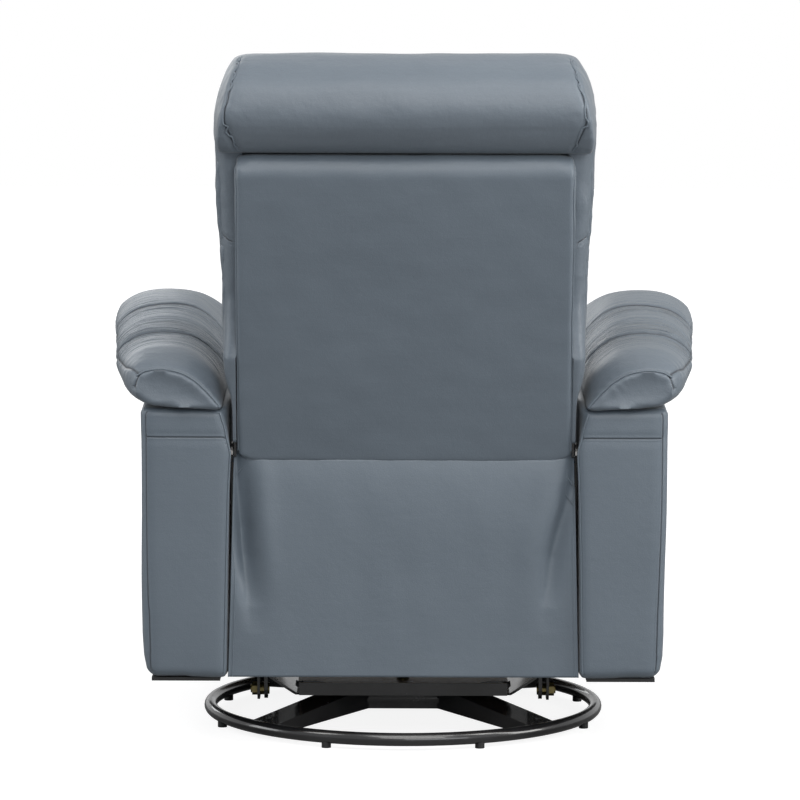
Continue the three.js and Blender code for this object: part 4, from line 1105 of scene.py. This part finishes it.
# how round the two ends are, and how far each is domed
REAR_ROUND, FRONT_ROUND, REAR_DOME, FRONT_DOME = 8.0, 20.0, 4.5, 9.0
bm = grid_block((165, 631, 100), 4.4)
for vert in bm.verts:
    u, v, w = vert.co
    rho = max(abs(u), abs(w))
    eased = 0.75 * v + 0.25 * math.sin(v * math.pi / 2)
    y = (PILLOW_REAR + PILLOW_FRONT) / 2 + eased * (PILLOW_REAR - PILLOW_FRONT) / 2
    near = min(PILLOW_REAR - y, y - PILLOW_FRONT)
    edge = REAR_ROUND if v > 0 else FRONT_ROUND
    scale = 1 - 0.055 * (1 - math.sqrt(1 - (1 - min(1, near / edge)) ** 2)) if near < edge else 1.0
    if abs(v) > 0.999:
        y += math.copysign((REAR_DOME if v > 0 else FRONT_DOME) * ((1 - rho ** 2.4) - 1), v)
        scale *= rho
    vert.co = on_pillow(math.atan2(w, u), y, scale)
pillow = as_piece("arm_pillow_cover_left", bm, soft_leather)


def top_under(points):
    """The height of the arm's top below each point."""
    y = np.clip(points[:, 1], ARM_FRONT, ARM_REAR)
    return ARM_TOP_FRONT + (ARM_TOP_REAR - ARM_TOP_FRONT) * (y - ARM_FRONT) / (ARM_REAR - ARM_FRONT)


def held_down(points):
    """The cover is tight on the arm, along its channels and over its rear end."""
    low = np.clip((top_under(points) + 7 - points[:, 2]) / 6, 0, 1)
    sewn = np.maximum.reduce([np.exp(-((points[:, 1] - at) / 5.0) ** 2) for at in CHANNELS])
    return np.clip(np.maximum.reduce([low, sewn, ramp(points[:, 1], 272, 8)]), 0, 1)


def above_arm(points):
    return np.clip((points[:, 2] - top_under(points) - 10) / 30, 0, 1)


def shirred(points):
    """The gathers are strongest beside the channels, and leave the last stretch before the cap plain."""
    off = np.minimum.reduce([np.abs(points[:, 1] - at) for at in (125, 60, -60)])
    return above_arm(points) * np.clip(0.25 + np.exp(-(off / 34) ** 2), 0, 1) * (points[:, 1] < 210)


swell(pillow, voxel=5.0, cap=4.0, hold=held_down)
crumple(pillow, 2.6, (3.0, 84, 10), mask=shirred, ridged=True, seed=21.0)
crumple(pillow, 3.0, (11, 9, 11), mask=above_arm, seed=9.0)
note(pillow, "shirred", shirred(points_of(pillow) / MM))
# each channel's seam and its painted shade show on the wall of its groove, a little before the groove's foot,
# as a thin dark line
CHANNEL_WALL = 10
for at in CHANNELS:
    line = round_pillow(range(-24, 212, 9), at - CHANNEL_WALL)
    sew(pillow, on_surface(pillow, line), depth=1.4, width=3.0, pucker=0.4, reach=12, pitch=17, wide=2.8)
CAP_Y = PILLOW_REAR - 1.6
cap_line = round_pillow(range(44, 222, 8), CAP_Y, 0.985)
cap_side = round_pillow((44, 26, 8, -8, -22), CAP_Y, 0.965)
front_line = round_pillow(range(22, 222, 8), PILLOW_FRONT + 4, 0.99)
# the turn in degrees at which the side seam runs, and the place along the pillow
SIDE_TURNS = (
    (44, 284), (38, 262), (28, 240), (20, 190), (16, 95), (14, 0), (14, -93), (15, -200), (18, -290),
    (22, -338),
)
side_line = smooth_line([on_pillow(math.radians(turn), y) for turn, y in SIDE_TURNS])
side_line = smooth_line(list(reversed(cap_side[::3])) + side_line[4::4])
# wide spreads each seam's painted shade, most widely on both sides of the cap's piping
for line, wide, layer in ((cap_line, 2.2, 1), (front_line, 1.5, 1), (side_line, 1.5, 2)):
    laid = on_surface(pillow, line)
    sew(pillow, laid, depth=2.0, width=4.0, pucker=0.5, reach=12, pitch=16, wide=wide, layer=layer)
pillow_trims = joined("arm_pillow_welts_left", [
    cord_of("welt", on_surface(pillow, line, lift), radius)
    for line, lift, radius in ((cap_line, 0.6, 1.4), (front_line, 0.4, 1.2))
])


def mirrored(piece, name):
    """The same piece for the other side of the chair."""
    mesh = piece.data.copy()
    bm = bmesh.new()
    bm.from_mesh(mesh)
    bmesh.ops.scale(bm, vec=(-1, 1, 1), verts=bm.verts)
    bmesh.ops.reverse_faces(bm, faces=bm.faces)
    bm.to_mesh(mesh)
    bm.free()
    mesh.name = name
    return into_scene(name, mesh)


twin = mirrored(pillow, "arm_pillow_cover_right")
twin_trims = mirrored(pillow_trims, "arm_pillow_welts_right")
for piece, trim, side in ((pillow, pillow_trims, "left"), (twin, twin_trims, "right")):
    upholster(piece, "seat", "arm_pillow_" + side)
    upholster(trim, "seat")

# Seat cushion.
# A thick foam pad in a boxed leather cover, crowned on top, with a rolled front edge. It lies on the springs
# of the wooden seat box.

SEAT_HALF, SEAT_LIMIT, SEAT_UNDER = 234.0, 239.4, 388.4
# y and z round its section
SEAT_PROFILE = (
    (88, 396), (89, 430), (84, 462), (60, 470), (0, 473), (-100, 474), (-190, 473), (-240, 472), (-275, 464),
    (-296, 446), (-300, 420), (-294, 399), (-270, 389.5), (-190, 388.6), (-100, 388.6), (0, 388.6), (70, 389),
)


def upright(x, z, y):
    return Vector((x, y, z))


seat = as_piece("seat_cushion_cover", section_form(
    SEAT_PROFILE, (-105.0, 430.0), 6.0, 0.95, 0.9, 8.5, (468, 85, 390), lambda t: SEAT_HALF, 0.8,
    place=upright,
), soft_leather)
swell(seat, voxel=6.0, cap=22.0, hold=lambda p: np.clip((393 - p[:, 2]) / 4, 0, 1))
points = points_of(seat)
points[:, 2] = np.maximum(points[:, 2], SEAT_UNDER * MM)
points[:, 0] = np.clip(points[:, 0], -SEAT_LIMIT * MM, SEAT_LIMIT * MM)
put_points(seat, points)


def seat_top(points):
    return ramp(points[:, 2], 410, 30) * np.clip((236 - np.abs(points[:, 0])) / 20, 0, 1)


crumple(seat, 4.0, (7, 7, 7), mask=seat_top, seed=14.0)
seat_seams = [
    smooth_line([(x, y, z) for x in range(-reach, reach + 1, 14)])
    for reach, y, z in ((226, -296, 446), (226, -292, 404), (222, -190, 474))
]
for line in seat_seams:
    sew(seat, on_surface(seat, line), depth=3.2, width=4.0, pucker=1.2, reach=24, pitch=26)
seat_welts = joined("seat_cushion_welts", [
    cord_of("welt", on_surface(seat, line, 0.2), 1.3) for line in seat_seams
])
upholster(seat, "seat", "seat_cushion")
upholster(seat_welts, "seat")

# Footrest pad.
# Foam under leather, stapled round the footrest board, with a seam across it.

PAD_HALF, PAD_FACE, PAD_BACK = 234.0, -387.0, -328.3
PAD_PROFILE = (
    (-328.5, 120), (-328.5, 255), (-328.5, 390), (-334, 393), (-352, 393), (-370, 386), (-379, 366),
    (-381, 320), (-379, 268), (-374, 256), (-379, 244), (-381, 190), (-379, 144), (-370, 125),
    (-352, 117.5), (-334, 117),
)
pad = as_piece("footrest_pad_cover", section_form(
    PAD_PROFILE, (-350.0, 255.0), 6.0, 0.95, 0.9, 7.5, (468, 276, 52), lambda t: PAD_HALF, 0.8,
    place=upright,
), soft_leather)
swell(pad, voxel=5.5, cap=4.0, hold=lambda p: ramp(p[:, 1], -332, 4))
points = points_of(pad)
points[:, 1] = np.clip(points[:, 1], PAD_FACE * MM, PAD_BACK * MM)
put_points(pad, points)
crumple(pad, 2.4, (8, 8, 8), mask=lambda p: np.clip((-340 - p[:, 1]) / 20, 0, 1), seed=17.0)
pad_line = smooth_line([(x, -386, 262) for x in range(-228, 229, 14)])
sew(pad, on_surface(pad, pad_line), depth=4.0, width=4.5, pucker=1.2, reach=22, pitch=24)
upholster(pad, "footrest", "footrest_pad")

# Frame.
# Gloss black powder coat on ring, spider and mechanism, yellow zinc on bolts, bright steel on races and
# springs, moulded black plastic on glides, skids and release, and raw wood inside the seat and back.

coat, coat_in, coat_out = shader_group(
    "coated_metal",
    [
        ("Vector", "NodeSocketVector", None), ("Peel", "NodeSocketFloat", 700.0),
        ("Scuff", "NodeSocketFloat", 0.4),
    ],
    ("Wear", "Gloss", "Height"),
)
dust = noise_of(coat, coat_in["Vector"], 22.0, Detail=4.0, Roughness=0.6)
scratch = noise_of(coat, coat_in["Vector"], 160.0, Detail=3.0)
worn = math_node(coat, "MULTIPLY", math_node(coat, "SUBTRACT", scratch, 0.62, clamp=True), 3.0)
worn = math_node(coat, "MULTIPLY", worn, coat_in["Scuff"])
haze = math_node(coat, "MULTIPLY", math_node(coat, "SUBTRACT", dust, 0.4, clamp=True), 0.6)
give(coat, coat_out, {
    "Wear": math_node(coat, "ADD", worn, haze, clamp=True),
    "Gloss": math_node(coat, "MULTIPLY", dust, 0.3),
    "Height": noise_of(coat, coat_in["Vector"], coat_in["Peel"], Detail=2.0),
})


def finish_of(name, base, worn_to, rough, metal, peel_scale=700.0, bump=0.15, scuff=0.4, clear=0.0):
    made, tree, surface, spot = new_material(name)
    cover = placed_group(tree, coat, Vector=spot, Peel=peel_scale, Scuff=scuff)
    relief = add_node(tree, "Bump", Strength=bump, Distance=0.0003, Height=cover["Height"])
    give(tree, surface, {
        "Base Color": mixed_colours(tree, cover["Wear"], base, worn_to),
        "Roughness": math_node(tree, "ADD", cover["Gloss"], rough - 0.15),
        "Normal": relief.outputs[0], "Metallic": metal, "Coat Weight": clear, "Coat Roughness": 0.07,
    })
    return made


black_coat = finish_of("black_powder_coat", (0.011, 0.011, 0.012), (0.05, 0.05, 0.052), 0.22, 0.0, clear=0.8)
bare_zinc = finish_of("yellow_zinc", (0.19, 0.155, 0.065), (0.34, 0.3, 0.19), 0.34, 1.0, peel_scale=240.0)
bright_steel = finish_of("bright_steel", (0.42, 0.42, 0.43), (0.2, 0.17, 0.15), 0.38, 1.0, peel_scale=400.0)
black_plastic = finish_of(
    "moulded_black_plastic", (0.012, 0.012, 0.013), (0.05, 0.05, 0.052), 0.52, 0.0,
    peel_scale=1100.0, bump=0.35,
)

# the base ring is one bent and welded tube
RING_RADIUS, RING_TUBE, RING_HIGH = 277.0, 9.2, 15.2
bm = bmesh.new()
bmesh.ops.create_circle(bm, segments=20, radius=RING_TUBE)
bmesh.ops.rotate(bm, cent=(0, 0, 0), matrix=Matrix.Rotation(math.pi / 2, 3, "X"), verts=bm.verts)
bmesh.ops.translate(bm, vec=(RING_RADIUS, 0, RING_HIGH), verts=bm.verts)
bmesh.ops.spin(
    bm, geom=bm.verts[:] + bm.edges[:], cent=(0, 0, 0), axis=(0, 0, 1),
    angle=2 * math.pi, steps=160, use_merge=True,
)
bmesh.ops.remove_doubles(bm, verts=bm.verts, dist=0.01)
ring = as_piece("base_ring_tube", bm, black_coat)
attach(ring, "base")
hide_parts("base_ring")

wood, tree, surface, spot = new_material("raw_pine_and_ply")
along_plank = stretched(tree, spot, (3.0, 40.0, 40.0))
rings = noise_of(tree, along_plank, 3.0, Detail=5.0, Distortion=1.2)
fibre = noise_of(tree, along_plank, 22.0, Detail=3.0)
rings, fibre = math_node(tree, "MULTIPLY", rings, 0.7), math_node(tree, "MULTIPLY", fibre, 0.3)
grain = math_node(tree, "ADD", rings, fibre)
plank = add_node(tree, "ValToRGB", Fac=grain)
for element, position, colour in zip(
    plank.color_ramp.elements, (0.34, 0.68), ((0.3, 0.17, 0.075, 1), (0.58, 0.4, 0.22, 1)),
):
    element.position = position
    element.color = colour
relief = add_node(tree, "Bump", Strength=0.3, Distance=0.0004, Height=grain)
give(tree, surface, {"Base Color": plank.outputs["Color"], "Normal": relief.outputs[0], "Roughness": 0.7})

FINISHES = {
    "black_steel": black_coat, "zinc": bare_zinc, "steel": bright_steel, "black_plastic": black_plastic,
    "wood": wood, "leather": body_leather,
}
for part in frame["record"]["subparts"]:
    node = frame["nodes"][part["node"]]
    for slot in node.material_slots:
        slot.material = FINISHES[part["material_slot"]]
